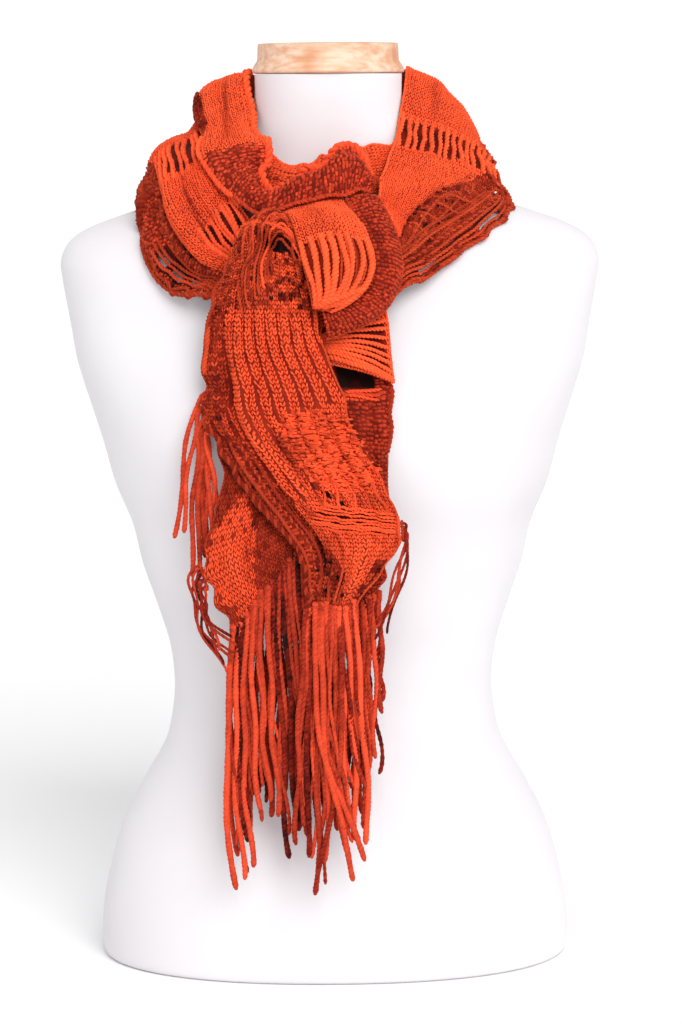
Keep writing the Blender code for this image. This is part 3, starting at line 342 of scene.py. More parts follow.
ROLL_PITCH, ROLL_STEP = 3.6, 1.4  # the same for a roll, the first for each millimetre of its radius
STRAND_POINTS = 12       # points that a loose strand is drawn through
STRAND_WAVE = 1.0        # how far it strays sideways
STRAND_DIP = 0.6         # how deep its ends go into the cloth
STRAND_SHIFT, STRAND_SPREAD = 0.1, 0.06  # unevenness of the strands' spacing, and of their tones
ARC_LIFT = 1.2           # how far strands in rings stand out
LOBE_SHOULDER = 0.25     # height of a lobe's sides as a share of its middle's
LOBE_SPREAD = 0.12       # how much the lobes' heights differ
LOBE_WOBBLE, SEED_WOBBLE, RIB_WOBBLE, BOBBLE_WOBBLE = 0.06, 0.18, 0.08, 0.3  # how far they stray

# twisted strands of two plies; lengths are in mm, and the rest are shares of the strand's radius
FRAME_AXIS = np.array([[0.31, 1.0, 0.17]])  # slanted, so that no yarn runs along it
PLY_PITCH = 6.0          # length of one turn
PLY_STEP = 1.3           # length of one piece
PLY_SIDES = 5
PLY_SWELL, PLY_WAVE = 0.07, 0.5  # how much a strand swells and thins, and how fast (radians a mm)
PLY_OFFSET, PLY_RADIUS = 0.46, 0.6  # a ply's distance from the middle, and its radius
PLY_SPREAD = 0.06        # how much the plies' tones differ
# soft cords of the fringe, in the same way
CORD_PITCH = 4.5         # length of one turn of the ridges
CORD_SPACING = 1.2       # length of one piece
CORD_RIDGE = 0.12        # height of the ridges
CORD_SWELL, CORD_WAVE = 0.06, 0.31  # how much a cord swells and thins, and how fast
CORD_TIP = 0.55          # thickness of the blunt tip
CORD_ROUGH = 0.03        # how much the thickness and the tone change from piece to piece
CORD_SHADE, CORD_SHADE_WAVE = 0.08, 0.045  # how much the tone rises and falls, and how fast
RIDGE_PAINTED_LIGHT, CORD_FLECK = 0.07, 0.06  # painted light and shade: how much brighter a ridge is and darker a groove; and how much points differ


def box(s_from, s_to, t_from, t_to):
    """Outline of a zone between two shares along and two shares across."""
    return [(s_from, t_from), (s_to, t_from), (s_to, t_to), (s_from, t_to)]


def zones(kind, *boxes):
    """Zones of one kind of stitch."""
    return [(kind, box(*edges)) for edges in boxes]


# zones that are named twice: a whole ribbon, a dark patch at the upper left, the knot's ladder
WHOLE = box(-1, 2, -1, 2)
LEFT_PATCH = [(0.27, 1.1), (0.29, 0.86), (0.36, 0.82), (0.4, 1.1)]
LOOP_LADDER = box(0.42, 0.93, -0.1, 1.1)
# kinds of stitch; ladders and deep holes have no stitches on their ground, open zones have no ground; the
# ground of a deep hole is painted black as its shadow
PLAIN, SEED, LACE, RIB, BOBBLE, LADDER, SHADOW_HOLE, OPEN = range(8)
# where a ribbon has another stitch than plain: kind, outline of (share along, share across)
STITCHES = {
    "inner_frill": [(LACE, box(0.1, 0.45, 0.3, 2))],
    "outer_turn": [
        (SEED, [(-1, 0.56), (0.12, 0.6), (0.26, 0.6), (0.33, 0.72), (0.54, 0.74), (0.54, 2), (-1, 2)]),
        (LACE, [(0.54, 0.76), (0.66, 0.9), (0.7, 0.73), (0.78, 0.46), (0.85, 0.37), (0.95, 0.28),
                (2, 0.2), (2, 2), (0.54, 2)]),
        (LADDER, [(0.215, 0.03), (0.275, 0.04), (0.272, 0.56), (0.21, 0.56)]),
        (LADDER, [(0.05, 0.08), (0.12, 0.03), (0.115, 0.38), (0.05, 0.42)]),
        (LADDER, [(0.635, 0.03), (0.685, 0.03), (0.68, 0.93), (0.632, 0.93)]),
        (LADDER, box(0.395, 0.435, 0.05, 0.72)),
        (LADDER, [(0.745, 0.87), (0.8, 0.86), (0.95, 0.83), (0.95, 0.9), (0.75, 0.92)]),
        *zones(LADDER, (0.05, 0.155, 0.74, 0.92), (0.34, 0.53, 0.86, 0.96), (0.55, 0.63, 0.88, 0.97)),
        *zones(SHADOW_HOLE, (0.846, 0.857, 0.4, 0.45), (0.822, 0.833, 0.47, 0.52), (0.804, 0.813, 0.51, 0.55),
               (0.838, 0.849, 0.6, 0.65), (0.821, 0.831, 0.66, 0.71), (0.865, 0.875, 0.52, 0.57)),
        *zones(OPEN, (0.132, 0.15, 0.78, 0.86), (0.098, 0.116, 0.8, 0.88), (0.068, 0.082, 0.8, 0.88),
               (0.892, 0.925, 0.86, 0.93), (0.78, 0.825, 0.88, 0.96), (0.738, 0.752, 0.84, 0.9),
               (0.36, 0.378, 0.89, 0.95), (0.41, 0.43, 0.88, 0.94), (0.47, 0.485, 0.89, 0.95),
               (0.575, 0.592, 0.9, 0.95)),
    ],
    "inner_turn": [(SEED, box(0.46, 2, -1, 2)), (LACE, LEFT_PATCH)],
    "rear_tail": [
        (LACE, WHOLE),
        (PLAIN, [(0.68, 0.1), (0.76, 0.05), (1.02, 0.18), (1.02, 0.32), (0.7, 0.46)]),
    ],
    "side_tail": [(SEED, WHOLE), (SHADOW_HOLE, box(0.13, 0.215, 0.18, 0.76))],
    "side_flap": [(LADDER, box(0.28, 0.88, 0.05, 0.96))],
    "front_tail": [
        (LACE, box(0.2, 0.46, -1, 0.18)),
        (RIB, [(0.205, 0.18), (0.2, 0.5), (0.215, 0.75), (0.2, 1.1), (0.39, 1.1), (0.405, 0.85),
               (0.44, 0.62), (0.5, 0.47), (0.62, 0.44), (0.68, 0.36), (0.66, 0.24), (0.5, 0.18)]),
        (BOBBLE, [(0.43, 0.58), (0.425, 0.78), (0.44, 0.99), (0.58, 0.99), (0.63, 0.88), (0.645, 0.7),
                  (0.6, 0.48), (0.5, 0.45)]),
        (SEED, box(0.5, 2, -1, 0.24)),
        (LACE, [(0.76, 0.2), (0.95, 0.6), (1.1, 0.66), (1.1, 0.2)]), (LACE, box(0.84, 1.1, 0.84, 2)),
        (SHADOW_HOLE, [(0.094, 0.5), (0.088, 0.7), (0.088, 0.95), (0.108, 0.95), (0.114, 0.72), (0.116, 0.52),
                (0.14, 0.475), (0.14, 0.445)]),
        (SHADOW_HOLE, [(0.1, 0.98), (0.1, 0.94), (0.15, 0.95), (0.15, 0.99)]),
        (LADDER, [(0.675, 0.44), (0.735, 0.32), (0.768, 0.97), (0.7, 0.97)]),
        *zones(SHADOW_HOLE, (0.612, 0.628, 0.49, 0.53), (0.636, 0.656, 0.54, 0.6), (0.664, 0.68, 0.6, 0.66),
               (0.85, 0.862, 0.3, 0.36), (0.89, 0.902, 0.42, 0.48), (0.93, 0.942, 0.3, 0.36),
               (0.905, 0.917, 0.5, 0.56)),
    ],
    "knot_band": [(SEED, WHOLE)],
    "knot_loop": [(LADDER, LOOP_LADDER)],
}
# how far the ground lies back under the strands, where it differs
DEPTHS = {"knot_loop": 3.0, "side_flap": 2.2, "front_tail": 1.6, "side_tail": 2.0}
# brightness of the yarn: of a whole ribbon, and of zones of it with how much it varies there
BASE_TONE = {
    "inner_frill": 0.85, "outer_turn": 0.88, "rear_tail": 0.36, "side_tail": 0.42, "side_flap": 0.9,
    "front_tail": 0.72, "knot_band": 0.5, "knot_loop": 0.92, "inner_turn": 0.88,
}
PLAIN_SPREAD = 0.07
TONES = {
    "inner_turn": [
        (0.5, 0.14, box(0.46, 2, 0.12, 2)), (0.2, 0.1, LEFT_PATCH),
    ],
    "outer_turn": [
        (0.34, 0.12, [(0.535, 0.8), (0.66, 0.92), (0.7, 0.73), (0.78, 0.46), (0.85, 0.37), (0.95, 0.28),
                     (2, 0.2), (2, 2), (0.535, 2)]),
        (0.4, 0.12, [(-1, 0.56), (0.12, 0.6), (0.26, 0.6), (0.33, 0.78), (0.54, 0.8), (0.54, 2), (-1, 2)]),
        (0.72, 0.1, [(-1, -1), (0.12, -1), (0.12, 0.34), (-1, 0.4)]),
    ],
    "rear_tail": [
        (0.86, 0.08, [(0.47, 0.26), (0.6, 0.08), (0.76, -0.1), (1.02, 0.18), (1.02, 0.32), (0.7, 0.48)]),
    ],
    # the side tail's first zone is painted shade: the dark of its deep hole
    "side_tail": [(0.2, 0.08, box(0.12, 0.22, 0.2, 0.78)), (0.85, 0.1, box(0.235, 0.265, 0.25, 0.55))],
    "front_tail": [
        (0.45, 0.2, box(-1, 0.21, -1, 2)), (0.55, 0.3, box(0.115, 0.21, 0.48, 0.95)),
        (0.34, 0.12, box(0.2, 0.5, -1, 0.18)),
        (0.28, 0.12, [(0.46, -1), (1.1, -1), (1.1, 0.24), (0.5, 0.24)]),
        (0.92, 0.08, [(0.75, 0.36), (0.765, 1.0), (0.83, 0.84), (0.96, 0.76), (0.9, 0.64)]),
        (0.28, 0.14, [(0.76, 0.2), (0.92, 0.62), (1.1, 0.66), (1.1, 0.2)]),
        (0.28, 0.14, box(0.84, 1.1, 0.82, 2)),
        (0.85, 0.08, [(0.2, 0.18), (0.2, 2), (0.43, 2), (0.5, 0.5), (0.68, 0.4), (0.66, 0.26), (0.5, 0.18)]),
        (0.84, 0.12, box(0.425, 0.64, 0.46, 0.99)),
    ],
    "knot_loop": [(0.55, 0.15, LOOP_LADDER)],
}
# streaks along a ribbon: share along from and to, streaks over its width, drift, depth of the tone
STREAKS = {"front_tail": [(0.19, 0.46, 10, 3.0, 0.12), (0.4, 0.74, 17, 4.0, 0.18)],
           "outer_turn": [(0.0, 0.14, 14, 6.0, 0.1)]}
# rings of streaks round a hollow: share along and across, ribbon's length and width (mm), reach,
# pitch, depth
RINGS = {"front_tail": [(0.11, 0.72, 300, 92, 42, 7.5, 0.28)]}
# creases finer than the solids, which also paint shade into the yarn in their troughs and light on their
# ridges: across from and to, along from and to, height, half width
CREASES = {
    "inner_frill": [(0.6, 0.5, 0.1, 0.4, -1.0, 3), (0.4, 0.6, 0.5, 0.9, 1.0, 3)],
    "outer_turn": [
        (0.5, 0.44, 0.1, 0.28, 2.6, 5), (0.7, 0.5, 0.01, 0.12, 2.6, 5),
        (0.62, 0.59, 0.03, 0.27, -2.6, 2.4), (0.38, 0.3, 0.03, 0.23, -3.0, 2.4),
        (0.22, 0.2, 0.1, 0.21, 1.6, 4), (0.12, 0.1, 0.12, 0.25, 1.5, 3.5), (0.16, 0.2, 0.04, 0.12, 1.2, 3),
        (0.73, 0.45, 0.68, 0.79, -2.2, 2.5), (0.45, 0.28, 0.77, 0.96, -2.6, 2.6),
        (0.54, 0.38, 0.78, 0.95, 1.6, 3.5),
        (0.18, 0.12, 0.7, 0.93, 1.2, 6), (0.52, 0.44, 0.55, 0.66, 1.1, 7), (0.22, 0.28, 0.55, 0.63, -1.2, 4),
        (0.8, 0.86, 0.56, 0.68, -1.4, 3), (0.66, 0.74, 0.8, 0.97, -1.4, 2.6),
        (0.25, 0.35, 0.34, 0.49, -1.8, 4), (0.62, 0.52, 0.37, 0.56, 1.6, 6),
        (0.72, 0.77, 0.31, 0.44, -1.6, 3),
        (0.14, 0.1, 0.44, 0.57, 1.3, 5), (0.82, 0.78, 0.42, 0.58, -1.5, 3),
        (0.44, 0.48, 0.4, 0.5, -1.2, 3.5),
    ],
    "inner_turn": [
        (0.34, 0.62, 0.22, 0.45, -1.8, 3), (0.75, 0.8, 0.24, 0.4, 1.2, 4), (0.45, 0.45, 0.48, 0.99, 1.6, 9),
        (0.86, 0.8, 0.5, 0.66, -1.4, 2.5), (0.3, 0.24, 0.55, 0.72, -1.2, 3),
        (0.62, 0.72, 0.66, 0.84, -1.3, 3),
        (0.3, 0.6, 0.02, 0.2, -1.0, 3),
    ],
    "rear_tail": [
        (0.22, 0.26, 0.52, 1.0, 1.6, 6), (0.1, 0.22, 0.1, 0.45, -1.2, 4), (0.44, 0.34, 0.55, 0.95, -1.6, 3),
        (0.7, 0.66, 0.2, 0.6, 1.2, 5),
    ],
    "side_tail": [
        (0.45, 0.45, 0.11, 0.24, -2.4, 7), (0.86, 0.84, 0.1, 0.4, 1.8, 4),
        (0.35, 0.42, 0.26, 0.6, -1.2, 3),
        (0.58, 0.62, 0.4, 0.95, 1.4, 4),
    ],
    "side_flap": [(0.9, 0.6, 0.2, 0.9, 1.2, 5), (0.3, 0.2, 0.3, 0.95, -1.0, 4)],
    "front_tail": [
        (0.2, 0.19, 0.22, 0.5, -2.2, 3), (0.08, 0.1, 0.24, 0.44, 1.4, 4), (0.3, 0.44, 0.42, 0.7, 1.4, 6),
        (0.48, 0.5, 0.44, 0.68, -2.0, 3), (0.7, 0.76, 0.42, 0.62, 1.8, 9),
        (0.26, 0.26, 0.54, 0.96, -2.0, 2.5),
        (0.1, 0.12, 0.52, 0.98, 2.0, 6), (0.42, 0.55, 0.74, 0.96, -1.2, 3), (0.62, 0.74, 0.74, 0.97, 2.0, 6),
        (0.46, 0.46, 0.09, 0.19, -2.2, 3), (0.97, 0.95, 0.12, 0.24, -2.0, 3),
        (0.28, 0.22, 0.03, 0.18, 1.4, 5),
    ],
    "knot_band": [(0.2, 0.3, 0.1, 0.6, -1.0, 3), (0.6, 0.7, 0.4, 0.95, 1.0, 4)],
    "knot_loop": [(0.3, 0.4, 0.02, 0.4, -0.9, 4), (0.66, 0.6, 0.05, 0.38, 1.0, 6)],
}
# bundles of loose strands: first and last start, first and last end (share along, share across), count,
# radius, lift, tone
STRANDS = {
    "outer_turn": [
        ((0.208, 0.03), (0.200, 0.57), (0.282, 0.05), (0.276, 0.57), 9, 2.1, 1.0, 0.88),
        ((0.045, 0.1), (0.045, 0.44), (0.130, 0.02), (0.122, 0.39), 8, 1.85, 0.9, 0.85),
        ((0.628, 0.03), (0.626, 0.94), (0.692, 0.03), (0.686, 0.94), 14, 2.15, 1.0, 0.9),
        ((0.388, 0.05), (0.388, 0.72), (0.442, 0.06), (0.442, 0.72), 10, 2.1, 1.0, 0.86),
        ((0.03, 0.72), (0.03, 0.93), (0.175, 0.74), (0.165, 0.95), 5, 1.35, 1.0, 0.36),
        ((0.985, 0.34), (0.985, 1.0), (0.74, 0.78), (0.745, 0.99), 8, 1.35, 1.0, 0.4),
        ((0.95, 0.42), (0.92, 0.7), (0.79, 0.48), (0.76, 0.72), 3, 1.2, 0.9, 0.42),
        ((0.89, 0.36), (0.8, 0.48), (0.87, 0.74), (0.775, 0.76), 4, 1.1, 1.3, 0.45),
        ((0.335, 0.84), (0.335, 0.99), (0.53, 0.84), (0.53, 0.99), 4, 1.25, 1.0, 0.4),
        ((0.54, 0.86), (0.54, 0.99), (0.65, 0.9), (0.65, 1.0), 3, 1.25, 1.0, 0.4),
        ((0.226, 0.72), (0.226, 0.72), (0.208, 1.03), (0.208, 1.03), 1, 3.2, 1.6, 0.32),
        ((0.236, 0.74), (0.236, 0.74), (0.219, 1.03), (0.219, 1.03), 1, 2.4, 2.8, 0.5),
    ],
    "inner_frill": [((0.12, 0.25), (0.12, 0.9), (0.42, 0.3), (0.42, 0.95), 4, 0.7, 0.9, 0.35)],
    "side_tail": [((0.235, 0.22), (0.245, 0.25), (0.225, 0.85), (0.265, 0.8), 3, 1.3, 1.4, 0.8)],
    "side_flap": [
        ((0.3, 1.0), (0.93, 1.0), (0.42, 0.03), (0.7, 0.03), 8, 1.7, 1.0, 0.92),
        ((0.97, 1.0), (0.97, 1.0), (0.8, 0.03), (0.8, 0.03), 1, 2.3, 1.2, 0.95),
    ],
    "front_tail": [
        ((0.665, 0.42), (0.742, 0.28), (0.700, 1.0), (0.768, 1.0), 8, 1.05, 1.5, 0.85),
        ((0.5, 0.05), (0.5, 0.2), (0.96, 0.05), (0.97, 0.22), 4, 1.6, 1.2, 0.3),
        ((0.6, 0.62), (0.6, 0.92), (0.68, 0.5), (0.7, 0.95), 5, 1.2, 1.4, 0.7),
        ((0.235, 0.02), (0.235, 0.02), (0.33, 0.02), (0.33, 0.02), 1, 2.0, 1.6, 0.6),
        ((0.86, 0.25), (0.86, 0.6), (0.99, 0.3), (0.99, 0.6), 4, 1.0, 1.0, 0.42),
        ((0.05, 0.05), (0.05, 0.05), (0.085, 0.96), (0.085, 0.96), 1, 1.5, 1.6, 0.92),
    ],
    "knot_loop": [
        ((0.4, 0.03), (0.4, 0.97), (0.97, 0.12), (0.9, 0.9), 8, 2.35, 1.2, 0.95),
        ((0.4, 0.1), (0.4, 0.9), (0.95, 0.2), (0.9, 0.84), 7, 1.0, -0.6, 0.5),
        ((0.95, 0.1), (0.95, 0.1), (0.72, 1.02), (0.72, 1.02), 1, 2.3, 1.8, 0.97),
    ],
}
# strands in rings round a hollow: its place along and across, the ribbon's length and width there (mm),
# smallest and largest ring, count, angle from and to (0 is upwards, positive turns to edge A), radius, tones
ARCS = {
    "front_tail": [
        (0.135, 0.72, 300, 92, 13, 42, 9, -70, 125, 1.15, (0.35, 0.5, 0.92, 0.4, 0.55, 0.3, 0.6)),
    ],
}
# yarn that is rolled round an edge: share along from and to, radius, tone, length it is smoothed over
EDGES = {
    ("inner_turn", "A"): [(0.22, 0.46, 2.8, 0.86, 8.0), (0.44, 1.0, 3.0, 1.0, 5.0)],
    ("inner_turn", "B"): [(0.27, 0.37, 2.2, 0.2, 6.0), (0.4, 0.56, 2.2, 0.95, 8.0),
                          (0.56, 1.0, 1.6, 0.45, 6.0)],
    ("outer_turn", "B"): [(0.0, 0.2, 2.1, 0.36, 24.0), (0.2, 0.34, 1.8, 0.4, 10.0),
                          (0.34, 0.74, 1.5, 0.4, 6.0), (0.74, 1.0, 1.7, 0.36, 20.0)],
    ("outer_turn", "A"): [(0.1, 0.25, 2.0, 0.95, 8.0), (0.66, 1.0, 1.3, 0.9, 6.0)],
    ("front_tail", "A"): [(0.0, 0.24, 1.5, 0.4, 6.0), (0.46, 1.0, 2.2, 0.28, 10.0)],
    ("front_tail", "B"): [(0.7, 0.8, 1.4, 0.85, 6.0)],
    ("side_tail", "B"): [(0.08, 0.45, 2.0, 0.36, 10.0)],
    ("knot_band", "A"): [(0.0, 1.0, 1.4, 0.4, 6.0)],
    ("knot_loop", "B"): [(0.3, 1.0, 1.5, 0.8, 6.0)],
    ("inner_frill", "A"): [(0.0, 1.0, 1.1, 0.95, 4.0)],
}

# lobes of one stitch: path in wales and courses, half width and height at each of its points
PLAIN_LEG = (((0.03, -0.66), (0.2, -0.26), (0.36, 0.20), (0.44, 0.58)),
             (0, 0.175, 0.175, 0), (0.05, 1.0, 0.95, 0.1))
SEED_BUMP = (((-0.52, -0.18), (-0.2, 0.08), (0.2, 0.08), (0.52, -0.18)),
             (0, 0.36, 0.36, 0), (0.1, 1.2, 1.2, 0.1))
BOBBLE_LOOP = (((-0.46, -0.2), (-0.26, 0.06), (0.0, 0.14), (0.26, 0.06), (0.46, -0.2)),
               (0, 0.15, 0.17, 0.15, 0), (0.1, 0.8, 1.0, 0.8, 0.1))
# seeds of every other place, and of those between: width to a stitch's, height to a plain one's, tone
SEEDS = ((1.1, 1.0, 1.0), (1.0, 0.8, 0.88))
EYELET_STEP = 3          # stitches from one small hole of the lace to the next
RIB_COUNT = 10           # ribs over the width of the ribbed tail, as in its solid
RIB_COURSE = 3.1         # height of a stitch of a rib
RIB_WALES = (-0.19, 0.19)  # places of a rib's two columns of stitches, as shares of the ribs' spacing
RIB_WALE = 0.37          # width of such a column
RIB_RISE = 1.25          # height of its stitches, over that of plain ones
RIB_DRIFT, RIB_START = 0.3, 0.21  # slant of the ribs, and the share along where they start
BOBBLE_SIZE = 5.0        # from one bobble to the next
BOBBLE_COURSE = 4.0      # height of a row of them
BOBBLE_RISE = 2.8
BOBBLE_TURNS = (0.2, 0.9, 1.6, 2.3, 3.0)  # directions of its loops, in radians
BOBBLE_SHARE = 0.7       # share of the bobbles that have a loop in one of them
BOBBLE_SPREAD = 0.12     # how much the loops' tones differ

PAINTED_SHADOW = (24, 6, 4)        # painted shadow: colour that the yarn takes at tone 0, in the black holes and the darkest ground and creases
PAINTED_SHADOW_SHARE = 0.16        # tone at which the painted shadow has turned into the dark yarn

FLOOR_REACH = 60.0       # metres from the middle of the floor to its edges
KEY_ENERGY, KEY_WIDTH = 2.2, 35  # strength and apparent size (degrees) of the soft light
KEY_RAYS = (-0.25, 0.78, -0.56)  # direction in which it shines
CAMERA_LENS = 111.02
CAMERA_TILT, CAMERA_ROLL = 7.7496, 0.45  # degrees
CAMERA_PLACE = (0.0068, -2.3, 0.640)     # metres


# ---------------------------------------------------------------- the ribbons, as in the solids
def spline(rows, shares):
    """Catmull-Rom curve through the rows, read at shares of its length from 0 to 1."""
    table = np.array(rows, dtype=float)
    last = len(table) - 1
    place = np.clip(np.asarray(shares) * last, 0, last)
    k = np.minimum(place.astype(int), last - 1)
    f = (place - k)[:, None]
    before = table[np.maximum(k - 1, 0)]
    after = table[np.minimum(k + 2, last)]
    p, q = table[k], table[k + 1]
    return 0.5 * (2 * p + (q - before) * f + (2 * before - 5 * p + 4 * q - after) * f ** 2
                  + (3 * p - before - 3 * q + after) * f ** 3)


def unit(vectors):
    """The vectors, each made one long."""
    return vectors / np.maximum(np.linalg.norm(vectors, axis=-1, keepdims=True), 1e-9)


def grid_normals(points, side):
    """Outward normals of a grid of points: along runs down the first axis, across the second."""
    along = np.gradient(points, axis=0)
    across = np.gradient(points, axis=1)
    return unit(np.cross(along, across) * side)


def fold_height(fold, s, t, width, fade, narrow=1.0):
    """Height of one fold or crease at places (s, t) of a ribbon that is so wide there."""
    t_from, t_to, s_from, s_to, top, half_width = fold
    part = np.clip((s - s_from) / (s_to - s_from), 0, 1)
    centre = t_from + (t_to - t_from) * part
    distance = (t - centre) * width
    return top * np.sin(math.pi * part) ** fade * np.exp(-(distance / half_width * narrow) ** 2)


def edge_fade(edge, t, width, reach):
    """1 at one long edge of a ribbon, and less further in, by a reach in millimetres."""
    from_edge = t if edge == "A" else 1 - t
    return np.exp(-from_edge[None, :] * width[:, None] / reach)


def relief(key, s, t, width):
    """Height of the folds, hollows and frills over the smooth ribbon, in millimetres."""
    height = np.zeros((len(s), len(t)))
    for fold in FOLDS.get(key, []):
        height += fold_height(fold, s[:, None], t[None, :], width[:, None], FOLD_FADE)
    for s_at, t_at, s_reach, t_reach, top in HOLLOWS.get(key, []):
        along = ((s - s_at) / s_reach) ** 2
        across = ((t - t_at) / t_reach) ** 2
        height += top * np.exp(-(along[:, None] + across[None, :]))
    for edge, waves, top, reach, tip in FRILLS.get(key, []):
        height += top * edge_fade(edge, t, width, reach) * np.sin(2 * math.pi * waves * s)[:, None]
    return height


def tips(key, s, t, width):
    """Shift across the ribbon that draws its frilled edges into scallops."""
    shift = np.zeros((len(s), len(t)))
    for edge, waves, top, reach, tip in FRILLS.get(key, []):
        sign = -1 if edge == "A" else 1
        fade = edge_fade(edge, t, width, TIP_REACH * reach)
        shift += sign * tip * fade * np.cos(2 * math.pi * waves * s)[:, None]
    return shift


def ribbon(key, rows, s, t, side, ribs=None):
    """Points of one stretch of cloth and its outward normals without the folds."""
    sections = spline(rows, s)
    edge_a, edge_b = sections[:, None, 0:3], sections[:, None, 3:6]
    bow, rise = sections[:, None, 6], sections[:, None, 7]
    points = edge_a + (edge_b - edge_a) * t[None, :, None]
    width = np.linalg.norm(sections[:, 3:6] - sections[:, 0:3], axis=1)
    arch = np.sin(math.pi * t)[None, :]
    points[:, :, 2] += rise * arch
    normals = grid_normals(points, side)
    height = bow * arch + relief(key, s, t, width)
    if ribs:
        count, top = ribs
        height += top * np.cos(2 * math.pi * count * t)[None, :] * np.ones((len(s), 1))
    across = unit(edge_b - edge_a)
    points = points + across * tips(key, s, t, width)[:, :, None] + normals * height[:, :, None]
    return points, normals


def tree(objects):
    """One search tree over several objects, in millimetres."""
    vertices, faces = [], []
    for obj in objects:
        start = len(vertices)
        vertices += [v.co / MM for v in obj.data.vertices]
        faces += [tuple(start + i for i in face.vertices) for face in obj.data.polygons]
    return BVHTree.FromPolygons(vertices, faces)


def finer(grid):
    """The grid with a point added between each pair of neighbours."""
    rows = np.repeat(grid, 2, axis=0)[:-1]
    rows[1::2] = 0.5 * (grid[:-1] + grid[1:])
    both = np.repeat(rows, 2, axis=1)[:, :-1]
    both[:, 1::2] = 0.5 * (rows[:, :-1] + rows[:, 1:])
    return both


def blur(grid):
    """The grid averaged with its neighbours."""
    padded = np.pad(grid, 1, mode="edge")
    rows = (padded[:-2] + 2 * padded[1:-1] + padded[2:]) / 4
    return (rows[:, :-2] + 2 * rows[:, 1:-1] + rows[:, 2:]) / 4


def lay_on(points, normals, beneath, reach):
    """Push a stretch outwards until its inner face is clear of the objects beneath it."""
    search = tree(beneath)
    clear = KNIT_WALL / 2 + REST_GAP + LAY_MARGIN
    fine_points, fine_normals = finer(finer(points)), unit(finer(finer(normals)))
    need = np.zeros(fine_points.shape[:2])
    for index in np.ndindex(need.shape):
        point, normal = Vector(fine_points[index]), Vector(fine_normals[index])
        hit = search.ray_cast(point + normal * reach, -normal, 2 * reach)
        if hit[0] is not None:
            need[index] = max(0.0, reach - hit[3] + clear)
    # made finer twice, a cell has four steps: a point answers for the three on each side of it
    lift = np.zeros(points.shape[:2])
    for i, j in np.ndindex(lift.shape):
        lift[i, j] = need[max(0, 4 * i - 3):4 * i + 4, max(0, 4 * j - 3):4 * j + 4].max()
    least = lift.copy()
    for _ in range(LAY_ROUNDS):
        lift = np.maximum(least, blur(lift))
    return points + normals * lift[:, :, None]


def ribbon_grid(key, rows, stretches, across, side, reach, ribs, beneath):
    """The grid of points of a whole ribbon and the rows where its stretches end."""
    ends, shares = [0], [np.zeros(1)]
    for name, end, cells in stretches:
        shares.append(np.linspace(shares[-1][-1], end, cells + 1)[1:])
        ends.append(ends[-1] + cells)
    s = np.concatenate(shares)
    t = np.linspace(0.0, 1.0, across + 1)
    points, outward = ribbon(key, rows, s, t, side, ribs)
    for _ in range(2):
        points = lay_on(points, outward, beneath, reach)
    return points, s, ends


# ---------------------------------------------------------------- smooth cloth
def share_weights(f):
    """Catmull-Rom weights of four neighbours, and their slopes, for a share from 0 to 1."""
    f2, f3 = f * f, f * f * f
    weights = np.stack([-0.5 * f3 + f2 - 0.5 * f, 1.5 * f3 - 2.5 * f2 + 1,
                        -1.5 * f3 + 2 * f2 + 0.5 * f, 0.5 * f3 - 0.5 * f2])
    slopes = np.stack([-1.5 * f2 + 2 * f - 0.5, 4.5 * f2 - 5 * f, -4.5 * f2 + 4 * f + 0.5, 1.5 * f2 - f])
    return weights, slopes


def mean_run(points, axis):
    """Mean length of a grid's lines along one of its axes."""
    return np.linalg.norm(np.diff(points, axis=axis), axis=2).sum(axis=axis).mean()


def run_of(line):
    """Length from the start of a line to each of its points."""
    return np.concatenate([[0.0], np.cumsum(np.linalg.norm(np.diff(line, axis=0), axis=1))])


